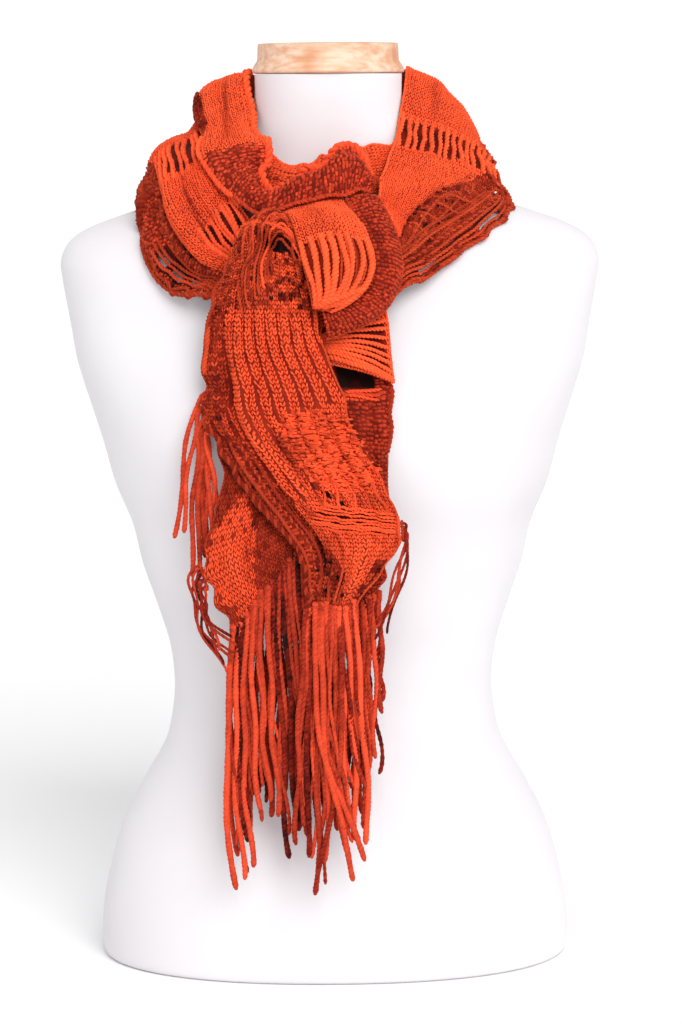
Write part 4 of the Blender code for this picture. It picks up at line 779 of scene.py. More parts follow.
class Cloth:
    """A ribbon as a smooth surface through its grid of points; u counts rows and v counts columns."""

    def __init__(self, key, points, shares, side):
        self.key, self.points, self.shares, self.side = key, points, shares, side
        self.rows, self.columns = points.shape[0] - 1, points.shape[1] - 1
        self.widths = np.linalg.norm(np.diff(points, axis=1), axis=2).sum(axis=1)
        self.width, self.length = self.widths.mean(), mean_run(points, 0)

    def padded(self, i, j):
        """Grid points, carried on in a straight line past the edges."""
        ic, jc = np.clip(i, 0, self.rows), np.clip(j, 0, self.columns)
        point = self.points[ic, jc]
        ni, nj = np.clip(i, 1, self.rows - 1), np.clip(j, 1, self.columns - 1)
        point = point + (point - self.points[ni, jc]) * (ic != i)[..., None]
        return point + (self.points[ic, jc] - self.points[ic, nj]) * (jc != j)[..., None]

    def at(self, u, v):
        """Positions and outward normals."""
        u, v = np.broadcast_arrays(np.asarray(u, dtype=float), np.asarray(v, dtype=float))
        i = np.clip(np.floor(u).astype(int), 0, self.rows - 1)
        j = np.clip(np.floor(v).astype(int), 0, self.columns - 1)
        weights_u, slopes_u = share_weights(np.clip(u - i, -PAST_EDGE, 1 + PAST_EDGE))
        weights_v, slopes_v = share_weights(np.clip(v - j, -PAST_EDGE, 1 + PAST_EDGE))
        place, along, across = (np.zeros(u.shape + (3,)) for _ in range(3))
        for a, b in np.ndindex(4, 4):
            point = self.padded(i + a - 1, j + b - 1)
            place += (weights_u[a] * weights_v[b])[..., None] * point
            along += (slopes_u[a] * weights_v[b])[..., None] * point
            across += (weights_u[a] * slopes_v[b])[..., None] * point
        normal = unit(np.cross(along, across) * self.side)
        place += normal * self.crease(u, v)[..., None]
        return place, normal

    def share(self, u):
        """Place along the whole ribbon from 0 to 1."""
        return np.interp(u, np.arange(self.rows + 1), self.shares)

    def row(self, s):
        """Row of a place along the ribbon."""
        return np.interp(s, self.shares, np.arange(self.rows + 1))

    def crease(self, u, v):
        """Height of the listed creases, which are finer than the grid."""
        s, t = self.share(u), v / self.columns
        width = np.interp(u, np.arange(self.rows + 1), self.widths)
        height = np.zeros(np.shape(u))
        for fold in CREASES.get(self.key, ()):
            height = height + fold_height(fold, s, t, width, CREASE_FADE)
        return height

    def steps(self, first, last, step):
        """Rows about a step (mm) apart along the middle of the ribbon, and their spacing in rows."""
        fine = np.linspace(first, last, STEP_SAMPLES)
        total = run_of(self.at(fine, self.columns / 2)[0])
        count = max(2, int(round(total[-1] / step)))
        edges = np.interp(np.arange(count + 1) / count * total[-1], total, fine)
        return (edges[:-1] + edges[1:]) / 2, np.diff(edges)


def in_zone(zone, s, t):
    """Which places (s, t) lie inside a closed outline."""
    inside = np.zeros(np.shape(s), dtype=bool)
    for (s0, t0), (s1, t1) in zip(zone, zone[1:] + zone[:1]):
        if s0 == s1:
            continue
        between = (s0 <= s) != (s1 <= s)
        inside ^= between & (t < t0 + (s - s0) * (t1 - t0) / (s1 - s0))
    return inside


def tone_at(cloth, s, t):
    """Brightness of the yarn from 0 (dark) to 1 (bright), with painted shade in creases and painted light on
    ridges, and how much it varies.
    """
    key = cloth.key
    tone = np.full(np.shape(s), BASE_TONE[key])
    spread = np.full(np.shape(s), PLAIN_SPREAD)
    for value, vary, zone in TONES.get(key, ()):
        inside = in_zone(zone, s, t)
        tone, spread = np.where(inside, value, tone), np.where(inside, vary, spread)
    for s_from, s_to, count, drift, depth in STREAKS.get(key, ()):
        fade = np.sin(math.pi * np.clip((s - s_from) / (s_to - s_from), 0, 1)) ** FOLD_FADE
        tone = tone + depth * fade * np.cos(2 * math.pi * (count * t - drift * (s - s_from)))
    for s_at, t_at, length, width, reach, pitch, depth in RINGS.get(key, ()):
        distance = np.hypot((s - s_at) * length, (t - t_at) * width)
        fade = np.clip(2 - 2 * distance / reach, 0, 1)
        tone = tone - depth * fade * np.cos(2 * math.pi * distance / pitch)
    # painted shade in the troughs of the creases, and painted light on their ridges
    for fold in CREASES.get(key, ()):
        height = fold_height(fold, s, t, cloth.width, CREASE_FADE, CREASE_NARROW)
        tone = tone + np.where(height < 0, CREASE_PAINTED_SHADE, CREASE_PAINTED_LIGHT) * height
    return tone, spread


def kind_at(key, s, t):
    """Kind of the stitch at a place."""
    kind = np.full(np.shape(s), PLAIN)
    for value, zone in STITCHES.get(key, ()):
        kind = np.where(in_zone(zone, s, t), value, kind)
    return kind


# ---------------------------------------------------------------- meshes of yarn
class Mesh:
    """Collects the vertices and faces of one piece, with a tone for each vertex."""

    def __init__(self):
        self.vertices, self.faces, self.tones, self.count = [], [], [], 0

    def add(self, vertices, face_lists, tone):
        """Add vertices, lists of faces that count from the first of them, and one tone or one for each."""
        vertices = np.asarray(vertices, dtype=float).reshape(-1, 3)
        self.faces += [faces + self.count for faces in face_lists]
        self.vertices.append(vertices)
        self.tones.append(np.broadcast_to(np.asarray(tone, dtype=float), (len(vertices),)))
        self.count += len(vertices)

    def piece(self, name, material):
        """The collected mesh as an object; millimetres become metres."""
        mesh = bpy.data.meshes.new(name)
        vertices = np.concatenate(self.vertices) * MM
        mesh.vertices.add(len(vertices))
        mesh.vertices.foreach_set("co", vertices.astype(np.float32).ravel())
        sizes = np.concatenate([np.full(len(f), f.shape[1]) for f in self.faces])
        loops = np.concatenate([f.ravel() for f in self.faces])
        starts = np.concatenate([[0], np.cumsum(sizes)[:-1]])
        mesh.loops.add(len(loops))
        mesh.loops.foreach_set("vertex_index", loops.astype(np.int32))
        mesh.polygons.add(len(sizes))
        mesh.polygons.foreach_set("loop_start", starts.astype(np.int32))
        mesh.polygons.foreach_set("loop_total", sizes.astype(np.int32))
        mesh.polygons.foreach_set("use_smooth", np.ones(len(sizes), dtype=bool))
        mesh.update(calc_edges=True)
        tone = mesh.attributes.new("tone", "FLOAT", "POINT")
        tone.data.foreach_set("value", np.concatenate(self.tones).astype(np.float32))
        mesh.materials.append(material)
        obj = bpy.data.objects.new(name, mesh)
        bpy.context.scene.collection.objects.link(obj)
        return obj


def lobe_faces(stations, flip):
    """Triangles and quads of one lobe: a point, rings of three, a point."""
    first, last = 1, 3 * (stations - 2) + 1
    fans = [(0, first, first + 1), (0, first + 1, first + 2)]
    quads = []
    for k in range(stations - 3):
        a, b = first + 3 * k, first + 3 * (k + 1)
        quads += [(a, b, b + 1, a + 1), (a + 1, b + 1, b + 2, a + 2)]
    a = last - 3
    fans += [(a, last, a + 1), (a + 1, last, a + 2)]
    fans, quads = np.array(fans), np.array(quads)
    return (fans[:, ::-1], quads[:, ::-1]) if flip else (fans, quads)


def lobes(mesh, cloth, u, v, du, dv, path, half_width, height, tone, wobble):
    """Rounded yarn lobes round the places (u, v); the path counts in wales and courses."""
    count, stations = len(u), len(path)
    if count == 0:
        return
    path = np.asarray(path, dtype=float)
    ahead = unit(np.gradient(path, axis=0))
    left = np.stack([-ahead[:, 1], ahead[:, 0]], axis=1)
    flat, rise = [], []
    for k in range(stations):
        for side in ((0.0,) if k in (0, stations - 1) else (-1.0, 0.0, 1.0)):
            flat.append(path[k] + left[k] * half_width[k] * side)
            rise.append(height[k] * (1.0 if side == 0.0 else LOBE_SHOULDER))
    flat, rise = np.array(flat), np.array(rise)
    shift = RNG.normal(0, wobble, (count, 2))
    uu = u[:, None] + (flat[None, :, 1] + shift[:, 1:]) * np.reshape(du, (-1, 1))
    vv = v[:, None] + (flat[None, :, 0] + shift[:, :1]) * dv
    place, normal = cloth.at(uu, vv)
    lift = rise[None, :] * (1 + RNG.normal(0, LOBE_SPREAD, (count, 1)))
    starts = (np.arange(count) * len(flat))[:, None, None]
    faces = [(starts + f[None]).reshape(-1, f.shape[1]) for f in lobe_faces(stations, cloth.side < 0)]
    mesh.add(place + normal * lift[:, :, None], faces, np.repeat(tone, len(flat)))


def smooth_line(line, step):
    """A smooth curve through a line with points about a step (mm) apart, and their place on it in mm."""
    fine = spline(line, np.linspace(0, 1, 12 * len(line)))
    total = run_of(fine)
    run = np.linspace(0, total[-1], max(4, int(round(total[-1] / step))) + 1)
    return np.stack([np.interp(run, total, fine[:, k]) for k in range(3)], axis=1), run


def line_frame(line):
    """Unit vectors ahead along a line, and two across it."""
    ahead = unit(np.gradient(line, axis=0))
    one = unit(np.cross(ahead, FRAME_AXIS))
    return ahead, one, np.cross(ahead, one)


def around(one, two, angle):
    """Directions at an angle round a line, from the two vectors across it."""
    return one * np.cos(angle)[..., None] + two * np.sin(angle)[..., None]


def ring_faces(count, sides):
    """Quads between the rings of a closed tube, and triangles to the two points that close its ends."""
    k = np.arange(sides)
    n = (k + 1) % sides
    i = np.arange(count - 1)[:, None] * sides
    quads = np.stack([i + k, i + n, i + sides + n, i + sides + k], axis=2).reshape(-1, 4)
    end = (count - 1) * sides
    first = np.stack([np.full(sides, count * sides), n, k], axis=1)
    last = np.stack([np.full(sides, count * sides + 1), end + k, end + n], axis=1)
    return [quads, np.concatenate([first, last])]


def closed_tube(mesh, rings, ends, tone):
    """A tube over rings of points, closed by a point at each end."""
    mesh.add(np.concatenate([np.reshape(rings, (-1, 3)), ends]), ring_faces(len(rings), len(rings[0])), tone)


def tube(mesh, line, radius, tone):
    """A closed round tube along a line, with a radius for each of its points."""
    ahead, one, two = line_frame(line)
    angle = 2 * math.pi * np.arange(PLY_SIDES) / PLY_SIDES
    rings = line[:, None, :] + around(one[:, None, :], two[:, None, :], angle) * radius[:, None, None]
    ends = [line[0] - ahead[0] * radius[0] * 0.5, line[-1] + ahead[-1] * radius[-1] * 0.5]
    closed_tube(mesh, rings, ends, tone)


def plied(mesh, line, radius, tone, ends, pitch=PLY_PITCH, step=PLY_STEP):
    """Yarn of two plies wound round each other along a line; ends is the thickness left at its tip."""
    line, run = smooth_line(line, step)
    _, one, two = line_frame(line)
    start = RNG.uniform(0, 2 * math.pi)
    thick = radius * (1 + PLY_SWELL * np.sin(run * PLY_WAVE + start))
    thick = thick * np.clip((run[-1] - run) / (3 * radius) + ends, ends, 1.0)
    for turn in (0.0, 0.5):
        offset = around(one, two, 2 * math.pi * (run / pitch + turn) + start)
        shade = np.clip(tone + RNG.normal(0, PLY_SPREAD), 0, 1)
        tube(mesh, line + offset * (thick * PLY_OFFSET)[:, None], thick * PLY_RADIUS, shade)


def cord(mesh, line, radius, tone, sides=8, lay=3):
    """A soft cord with the fine ridges of its twist and a blunt tip."""
    line, run = smooth_line(line, CORD_SPACING)
    ahead, one, two = line_frame(line)
    start = RNG.uniform(0, 2 * math.pi)
    swell = CORD_SWELL * np.sin(run * CORD_WAVE + start)
    thick = radius * (1 + swell + RNG.normal(0, CORD_ROUGH, len(run)))
    thick = thick * np.clip((run[-1] - run) / (1.2 * radius) * (1 - CORD_TIP) + CORD_TIP, CORD_TIP, 1.0)
    angle = 2 * math.pi * np.arange(sides) / sides
    ridge = np.cos(lay * angle[None, :] - 2 * math.pi * run[:, None] / CORD_PITCH * lay / 2)
    ring = around(one[:, None, :], two[:, None, :], angle)
    rings = line[:, None, :] + ring * (thick[:, None] * (1 + CORD_RIDGE * ridge))[:, :, None]
    shade = tone + CORD_SHADE * np.sin(run * CORD_SHADE_WAVE + start) + RNG.normal(0, CORD_ROUGH, len(run))
    # painted light and shade: brighter tone on the cord's ridges, darker in the grooves between them
    tones = np.clip(shade[:, None] + RIDGE_PAINTED_LIGHT * ridge + RNG.normal(0, CORD_FLECK, ridge.shape), 0, 1)
    closed_tube(mesh, rings, [line[0], line[-1] + ahead[-1] * radius * 0.3],
                np.concatenate([tones.ravel(), [tone, tone]]))


# ---------------------------------------------------------------- stretches of cloth
def shell(cloth, first, last):
    """The closed ground of a stretch, which lies back under loose strands and has the cloth's gaps; its
    colour is painted shade.
    """
    rows = max(4, int(round((cloth.share(last) - cloth.share(first)) * cloth.length / SHELL_CELL)))
    columns = max(4, int(round(cloth.width / SHELL_CELL)))
    u = np.linspace(first, last, rows + 1)
    v = np.linspace(0, cloth.columns, columns + 1)
    place, normal = cloth.at(u[:, None], v[None, :])
    s, t = np.broadcast_arrays(cloth.share(u)[:, None], v[None, :] / cloth.columns)
    kind, tone = kind_at(cloth.key, s, t), tone_at(cloth, s, t)[0]
    back = blur(np.where(kind >= LADDER, 1.0, 0.0)) * DEPTHS.get(cloth.key, LADDER_DEPTH)
    outer = (place + normal * (SHELL_WALL * SHELL_OUT - back)[..., None]).reshape(-1, 3)
    back = SHELL_WALL * (1 - SHELL_OUT) + back * LADDER_INNER
    inner = (place - normal * back[..., None]).reshape(-1, 3)
    middle_u, middle_v = (u[:-1] + u[1:]) / 2, (v[:-1] + v[1:]) / 2
    s, t = np.broadcast_arrays(cloth.share(middle_u)[:, None], middle_v[None, :] / cloth.columns)
    kept = np.pad(kind_at(cloth.key, s, t) != OPEN, 1)
    i, j = np.nonzero(kept[1:-1, 1:-1])
    half, wide = len(outer), columns + 1
    a, b = i * wide + j, i * wide + j + 1
    c, d = b + wide, a + wide
    faces = [np.stack([a, b, c, d], axis=1), np.stack([d, c, b, a], axis=1) + half]
    for di, dj, p, q in ((-1, 0, a, b), (0, 1, b, c), (1, 0, c, d), (0, -1, d, a)):
        edge = ~kept[i + 1 + di, j + 1 + dj]
        p, q = p[edge], q[edge]
        faces.append(np.stack([q, p, half + p, half + q], axis=1))
    faces = np.concatenate([f[:, ::-1] if cloth.side > 0 else f for f in faces])
    used, new = np.unique(faces, return_inverse=True)
    # painted shade: the ground is dark between the stitches, as the shadow between the yarn, and darker
    # under loose strands
    face = np.where(kind >= LADDER, tone * LADDER_PAINTED_SHADE, tone * GROUND_SHARE + GROUND_PAINTED_SHADE)
    # painted shadow: the ground of a deep hole is black
    face = np.where(kind == SHADOW_HOLE, 0.0, face).ravel()
    mesh = Mesh()
    mesh.add(np.concatenate([outer, inner])[used], [new.reshape(faces.shape)],
             np.concatenate([face, tone.ravel() * INNER_TONE])[used])
    return mesh, mean_run(place, 1) * MM, mean_run(place, 0) * MM, len(i) / (rows * columns)


class Field:
    """A grid of stitches on a stretch, slanted by a drift, with their kinds and tones."""

    def __init__(self, cloth, first, last, course, v, drift=0.0):
        rows, du = cloth.steps(first, last, course)
        self.cloth, self.du = cloth, np.repeat(du, len(v))
        self.u, vv = (g.ravel() for g in np.meshgrid(rows, v, indexing="ij"))
        self.v = vv + drift * (cloth.share(self.u) - RIB_START) * cloth.columns
        self.row, self.column = (g.ravel() for g in np.indices((len(rows), len(v))))
        s, t = cloth.share(self.u), self.v / cloth.columns
        tone, spread = tone_at(cloth, s, t)
        self.tone = np.clip(tone + RNG.normal(0, 1, len(s)) * spread, 0, 1)
        self.kind = kind_at(cloth.key, s, t)

    def sow(self, mesh, pick, wale, shape, rise, tone, wobble):
        """A lobe of a shape (path, widths, heights) on each picked place."""
        path, half_width, height = shape
        lobes(mesh, self.cloth, self.u[pick], self.v[pick], self.du[pick], wale, path, half_width,
              np.array(height) * rise, tone, wobble)

    def legs(self, mesh, pick, wale, rise, wobble):
        """A pair of mirrored legs, which is a plain stitch, on each picked place."""
        path, half_width, height = PLAIN_LEG
        for mirror in (1, -1):
            shape = (np.array(path) * (mirror, -1), half_width, height)
            self.sow(mesh, pick, wale, shape, rise, self.tone[pick], wobble)


def stitches(mesh, cloth, first, last):
    """Knitted stitches all over a stretch, by the kind that each place has."""
    wales = max(3, int(round(cloth.width / WALE)))
    wale = cloth.columns / wales
    field = Field(cloth, first, last, COURSE, (np.arange(wales) + 0.5) * wale)
    kind, row, column = field.kind, field.row, field.column
    hole = (kind == LACE) & (row % EYELET_STEP == 0) & ((column + row // EYELET_STEP) % EYELET_STEP == 0)
    field.legs(mesh, ((kind == PLAIN) | (kind == LACE)) & ~hole, wale, STITCH_RISE, LOBE_WOBBLE)
    for odd, (wide, high, bright) in enumerate(SEEDS):
        pick = ((kind == SEED) | (kind == BOBBLE)) & ((row + column) % 2 == odd)
        field.sow(mesh, pick, wale * wide, SEED_BUMP, STITCH_RISE * high, field.tone[pick] * bright,
                  SEED_WOBBLE)
    if any(value == RIB for value, zone in STITCHES.get(cloth.key, ())):
        ribs_and_bobbles(mesh, cloth, first, last)


def ribs_and_bobbles(mesh, cloth, first, last):
    """Ribs of two columns of stitches, and bobbles of loops that point in a few directions."""
    rib = cloth.columns / RIB_COUNT
    v = (np.arange(-2, RIB_COUNT + 2)[:, None] + np.array(RIB_WALES)[None, :]).ravel() * rib
    field = Field(cloth, first, last, RIB_COURSE, v, RIB_DRIFT)
    pick = (field.kind == RIB) & (field.v < cloth.columns)
    field.legs(mesh, pick, rib * RIB_WALE, STITCH_RISE * RIB_RISE, RIB_WOBBLE)
    wale = cloth.columns / round(cloth.width / BOBBLE_SIZE)
    field = Field(cloth, first, last, BOBBLE_COURSE, np.arange(0.5, cloth.columns / wale) * wale)
    field.v = field.v + (field.row % 2) * wale * 0.5
    path, half_width, height = BOBBLE_LOOP
    for turn in BOBBLE_TURNS:
        c, s = math.cos(turn), math.sin(turn)
        pick = (field.kind == BOBBLE) & (RNG.random(len(field.u)) < BOBBLE_SHARE)
        tone = np.clip(field.tone[pick] + RNG.normal(0, BOBBLE_SPREAD, pick.sum()), 0, 1)
        turned_path = [(x * c - y * s, x * s + y * c) for x, y in path]
        field.sow(mesh, pick, wale, (turned_path, half_width, height), BOBBLE_RISE, tone, BOBBLE_WOBBLE)


def pair_at(one, two, share):
    """The pair of numbers at a share of the way from one pair to another."""
    return one[0] + (two[0] - one[0]) * share, one[1] + (two[1] - one[1]) * share


def loose_strands(mesh, cloth, first, last):
    """Bundles of twisted strands that lie on the ground and end between the stitches."""
    part = np.linspace(0, 1, STRAND_POINTS)
    arch = np.sin(math.pi * part)
    for start_a, start_b, end_a, end_b, count, radius, lift, tone in STRANDS.get(cloth.key, ()):
        if not first <= cloth.row((start_a[0] + end_a[0]) / 2) <= last:
            continue
        height = lift * arch ** 0.4 - STRAND_DIP * (1 - arch)
        for k in range(count):
            share = (k + RNG.normal(0, STRAND_SHIFT)) / max(1, count - 1)
            start, end = pair_at(start_a, start_b, share), pair_at(end_a, end_b, share)
            s, t = pair_at(start, end, part)
            wave = arch * np.sin(part * RNG.uniform(4, 8) + RNG.uniform(0, 6))
            v = t * cloth.columns + wave * STRAND_WAVE / cloth.width * cloth.columns
            place, normal = cloth.at(cloth.row(s), v)
            plied(mesh, place + normal * height[:, None], radius * RNG.uniform(0.88, 1.12),
                  np.clip(tone + RNG.normal(0, STRAND_SPREAD), 0, 1), ends=0.8)


def arcs(mesh, cloth, first, last):
    """Strands that curve round a hollow, in rings on the cloth."""
    for arc in ARCS.get(cloth.key, ()):
        s_at, t_at, length, width, near, far, count, turn_from, turn_to, radius, tones = arc
        if not first <= cloth.row(s_at) <= last:
            continue
        turn = np.radians(np.linspace(turn_from, turn_to, 2 * STRAND_POINTS))
        for k in range(count):
            reach = near + (far - near) * k / (count - 1)
            s = s_at - reach * np.cos(turn) / length
            t = t_at - reach * np.sin(turn) / width
            kept = (t > 0.03) & (t < 0.99) & (s > 0.01)
            if kept.sum() < 4:
                continue
            place, normal = cloth.at(cloth.row(s[kept]), t[kept] * cloth.columns)
            plied(mesh, place + normal * ARC_LIFT, radius, tones[k % len(tones)], ends=0.8)


def smoothed(line, count):
    """A line averaged over a number of points."""
    if count < 2:
        return line
    kernel = np.ones(2 * count + 1) / (2 * count + 1)
    padded = np.pad(line, ((count, count), (0, 0)), mode="edge")
    return np.stack([np.convolve(padded[:, k], kernel, "valid") for k in range(3)], axis=1)


def edge_cords(mesh, cloth, first, last):
    """Yarn along both long edges of a stretch, and thicker rolls on parts of them."""
    for edge, v, inside in (("A", 0.0, 0.01), ("B", float(cloth.columns), 0.99)):
        u = np.linspace(first, last, max(8, int((last - first) * 8)))
        place, normal = cloth.at(u, v)
        tone = float(tone_at(cloth, cloth.share(u[len(u) // 2]), np.array(inside))[0])
        plied(mesh, place + normal * EDGE_LIFT, EDGE_CORD, tone, 1.0, EDGE_PITCH, EDGE_STEP)
        for s_from, s_to, radius, tone, reach in EDGES.get((cloth.key, edge), ()):
            start, stop = max(first, cloth.row(s_from)), min(last, cloth.row(s_to))
            if stop - start < 1:
                continue
            place, normal = cloth.at(np.linspace(start, stop, ROLL_POINTS), v)
            length = np.linalg.norm(np.diff(place, axis=0), axis=1).sum()
            line = smoothed(place + normal * radius * 0.5, int(reach / length * (ROLL_POINTS / 2)))
            plied(mesh, line, radius, tone, 0.7, radius * ROLL_PITCH, ROLL_STEP)


# ---------------------------------------------------------------- fringe
def along_line(line, share):
    """Point at a share of the length of a polyline."""
    total = run_of(line)
    return np.array([np.interp(share * total[-1], total, line[:, k]) for k in range(3)])


def hanging_cords(hem, table):
    """Paths of cords that hang from a hem to their tips, with a little sideways belly.

    A cord reaches the depth of its tip within its first step, so that layers of cords stay apart.
    """
    cords, u = [], np.arange(CORD_STEPS + 1) / CORD_STEPS
    for place, x, y, z, belly in table:
        root = along_line(hem, place) + DOWN * STRIP_HEIGHT
        path = root + (np.array([x, y, z]) - root) * u[:, None]
        path[:, 0] += belly * np.sin(math.pi * u)
        path[:, 1] = root[1] + (y - root[1]) * (u > 0)
        cords.append(path)
    return cords


def side_cords(hem, table, grow):
    """Paths of strands that leave a side edge outwards, turn at an elbow and end at their tips."""
    cords, u = [], np.arange(STRAND_STEPS + 1)[:, None] / STRAND_STEPS
    v = 1 - u
    for place, reach, *ends in table:
        root = along_line(hem, place) + grow * STRIP_HEIGHT
        out, elbow, tip = root + grow * reach, np.array(ends[:3]), np.array(ends[3:])
        cords.append(root * v ** 3 + out * 3 * u * v ** 2 + elbow * 3 * u ** 2 * v + tip * u ** 3)
    return cords


def hem_of(points):
    """Line just below the lower end of a ribbon."""
    direction = unit(points[-1] - points[-2])
    return points[-1] + direction * HEM_GAP + DOWN * SEAM_GAP


def side_hem_of(points, rows, column):
    """Line just outside one long edge of a ribbon, from one row of its grid to another."""
    neighbour = 1 if column == 0 else -2
    step = 1 if rows[1] > rows[0] else -1
    picked = list(range(rows[0], rows[1] + step, step))
    edge = points[picked, column]
    outward = unit(np.mean(edge - points[picked, neighbour], axis=0))
    chord = np.linspace(edge[0], edge[-1], len(edge))
    bulge = np.max((edge - chord) @ outward)
    return chord + outward * (bulge + HEM_GAP)


def hem_behind(line, cloth):
    """Line moved along Y until a strip on it, and the cords below it, hang just behind a cloth."""
    search = tree([cloth])
    first, last = np.array(line, dtype=float)
    places = [first + (last - first) * share for share in np.linspace(0, 1, HEM_POINTS)]
    ahead = Vector((0.0, -1.0, 0.0))
    depths = []
    for place in places:
        starts = [Vector((place[0], 0.0, place[2] - drop)) for drop in HEM_DROPS]
        hits = [search.ray_cast(start, ahead)[0] for start in starts]
        depths.append([hit.y + CORD / 2 + HEM_GAP for hit in hits if hit is not None])
    known = [depth for group in depths for depth in group]
    for place, group in zip(places, depths):
        place[1] = max(group or known)
    return np.array(places)


def waved(path, reach):
    """A path with gentle waves sideways that grow towards its tip."""
    part = np.linspace(0, 1, WAVE_POINTS)
    fine = spline(path, part)
    turn, start = RNG.uniform(9, 17), RNG.uniform(0, 6.3)
    fine[:, 0] += reach * np.sin(part * turn + start) * part ** 0.7
    fine[:, 1] += 0.4 * reach * np.sin(part * turn * 0.8 + start) * part
    return fine


def fringe_piece(name, paths, radius, tone, hem, grow, sway, overlap):
    """Soft cords in place of a fringe node, and their knotted edge.

    The overlap (mm) is how far the cords start in front of the cloth above the edge. Between cords
    that hang, there are thinner ones.
    """
    mesh = Mesh()
    ahead = np.array([0.0, -overlap, 0.0])
    most = FRINGE_TUCK + FRINGE_TUCK * overlap
    paths = [np.vstack([path[0] - grow * RNG.uniform(FRINGE_TUCK, most) + ahead, path]) for path in paths]
    for path in paths:
        cord(mesh, waved(path, sway), radius * RNG.uniform(*THICKNESS),
             np.clip(tone + RNG.normal(0, FRINGE_SPREAD), 0.1, 1))
    for one, two in list(zip(paths, paths[1:])) * (THIN_CORDS if grow is DOWN else 0):
        path = one + (two - one) * RNG.uniform(0.2, 0.8)
        path = path[0] + (path - path[0]) * RNG.uniform(*THIN_LENGTH)
        path[:, 0] += np.linspace(0, RNG.normal(0, THIN_STRAY), len(path))
        path[:, 1] += np.linspace(0, RNG.uniform(*THIN_BACK), len(path))
        shade = np.clip(tone + RNG.normal(-0.08, FRINGE_SPREAD), 0, 1)
        cord(mesh, waved(path, THIN_SWAY), radius * RNG.uniform(*THIN_THICKNESS), shade, sides=6, lay=2)
    plied(mesh, hem + grow * STRIP_HEIGHT * 0.5, HEM_CORD, tone, 1.0, EDGE_PITCH, EDGE_STEP)
    return finished(mesh.piece(name + "_cords", YARN["fringe_yarn"]), (name,))


# ---------------------------------------------------------------- materials
def colour(rgb):
    """An sRGB colour from 0 to 255 as linear light."""
    shares = [channel / 255.0 for channel in rgb]
    return tuple(c / 12.92 if c <= 0.04045 else ((c + 0.055) / 1.055) ** 2.4 for c in shares) + (1.0,)


def feed(tree, node, inputs):
    """Give a shader node its inputs: values, or outputs of other nodes that are linked to it."""
    for key, value in inputs.items():
        if isinstance(value, bpy.types.NodeSocket):
            tree.links.new(value, node.inputs[key])
        else:
            node.inputs[key].default_value = value


def shader_node(tree, kind, inputs, output, **settings):
    """One output of a new shader node."""
    node = tree.nodes.new("ShaderNode" + kind)
    for key, value in settings.items():
        setattr(node, key, value)
    feed(tree, node, inputs)
    return node.outputs[output]


def noise(tree, place, scale, detail=2.0):
    """Noise from 0 to 1; the scale counts its waves in a metre, about."""
    return shader_node(tree, "TexNoise", {"Vector": place, "Scale": scale, "Detail": detail}, "Fac")


def bump(tree, height, strength, distance):
    """Normals of a fine relief; the distance is in metres."""
    inputs = {"Height": height, "Strength": strength, "Distance": distance}
    return shader_node(tree, "Bump", inputs, "Normal")


def ramp(tree, share, stops):
    """Colours between stops (place, linear colour), the first and last of which are its ends."""
    blended = shader_node(tree, "ValToRGB", {"Fac": share}, "Color")
    elements = blended.node.color_ramp.elements
    for element, (place, rgba) in zip(elements, (stops[0], stops[-1])):
        element.position, element.color = place, rgba
    for place, rgba in stops[1:-1]:
        elements.new(place).color = rgba
    return blended


def new_material(name):
    """An empty material, its tree of nodes, and the place on the object that its textures follow."""
    mat = bpy.data.materials.new(name)
    mat.use_nodes = True
    return mat, mat.node_tree, shader_node(mat.node_tree, "TexCoord", {}, "Object")


def yarn_material(name, low, high):
    """Knitting yarn: from painted deep shadow over dark to bright by the tone, with fibres and flecks."""
    mat, tree, place = new_material(name)
    tone = shader_node(tree, "Attribute", {}, "Fac", attribute_name="tone")
    patches, fibres = noise(tree, place, 90.0), noise(tree, place, 1600.0, 3.0)
    spread = shader_node(tree, "Math", {0: tone, 1: 0.15}, 0, operation="SUBTRACT")
    blend = shader_node(tree, "Math", {0: patches, 1: 0.3, 2: spread}, 0, operation="MULTIPLY_ADD",
                        use_clamp=True)
    yarn = ramp(tree, blend, ((0.0, colour(PAINTED_SHADOW)), (PAINTED_SHADOW_SHARE, colour(low)), (1.0, colour(high))))
    fleck = shader_node(tree, "MapRange", {"Value": fibres, "From Min": 0.3, "From Max": 0.7,
                                           "To Min": 0.78, "To Max": 1.22}, "Result")
    feed(tree, tree.nodes["Principled BSDF"], {
        "Base Color": shader_node(tree, "HueSaturation", {"Color": yarn, "Value": fleck}, "Color"),
        "Normal": bump(tree, fibres, 0.5, 0.0003), "Roughness": 0.85, "Specular IOR Level": 0.12,
        "Sheen Weight": 0.12, "Sheen Roughness": 0.5, "Sheen Tint": colour((255, 150, 110)),
    })
    return mat


def jersey_material():
    """Fine white jersey over the form, with faint knit and a soft shade."""
    mat, tree, place = new_material("form_jersey")
    patches, weave = noise(tree, place, 9.0), noise(tree, place, 1400.0)
    feed(tree, tree.nodes["Principled BSDF"], {
        "Base Color": ramp(tree, patches, ((0.3, colour((219, 215, 218))), (0.7, colour((226, 223, 225))))),
        "Normal": bump(tree, weave, 0.25, 0.0002), "Roughness": 0.9, "Specular IOR Level": 0.2,
        "Sheen Weight": 0.15,
    })
    return mat


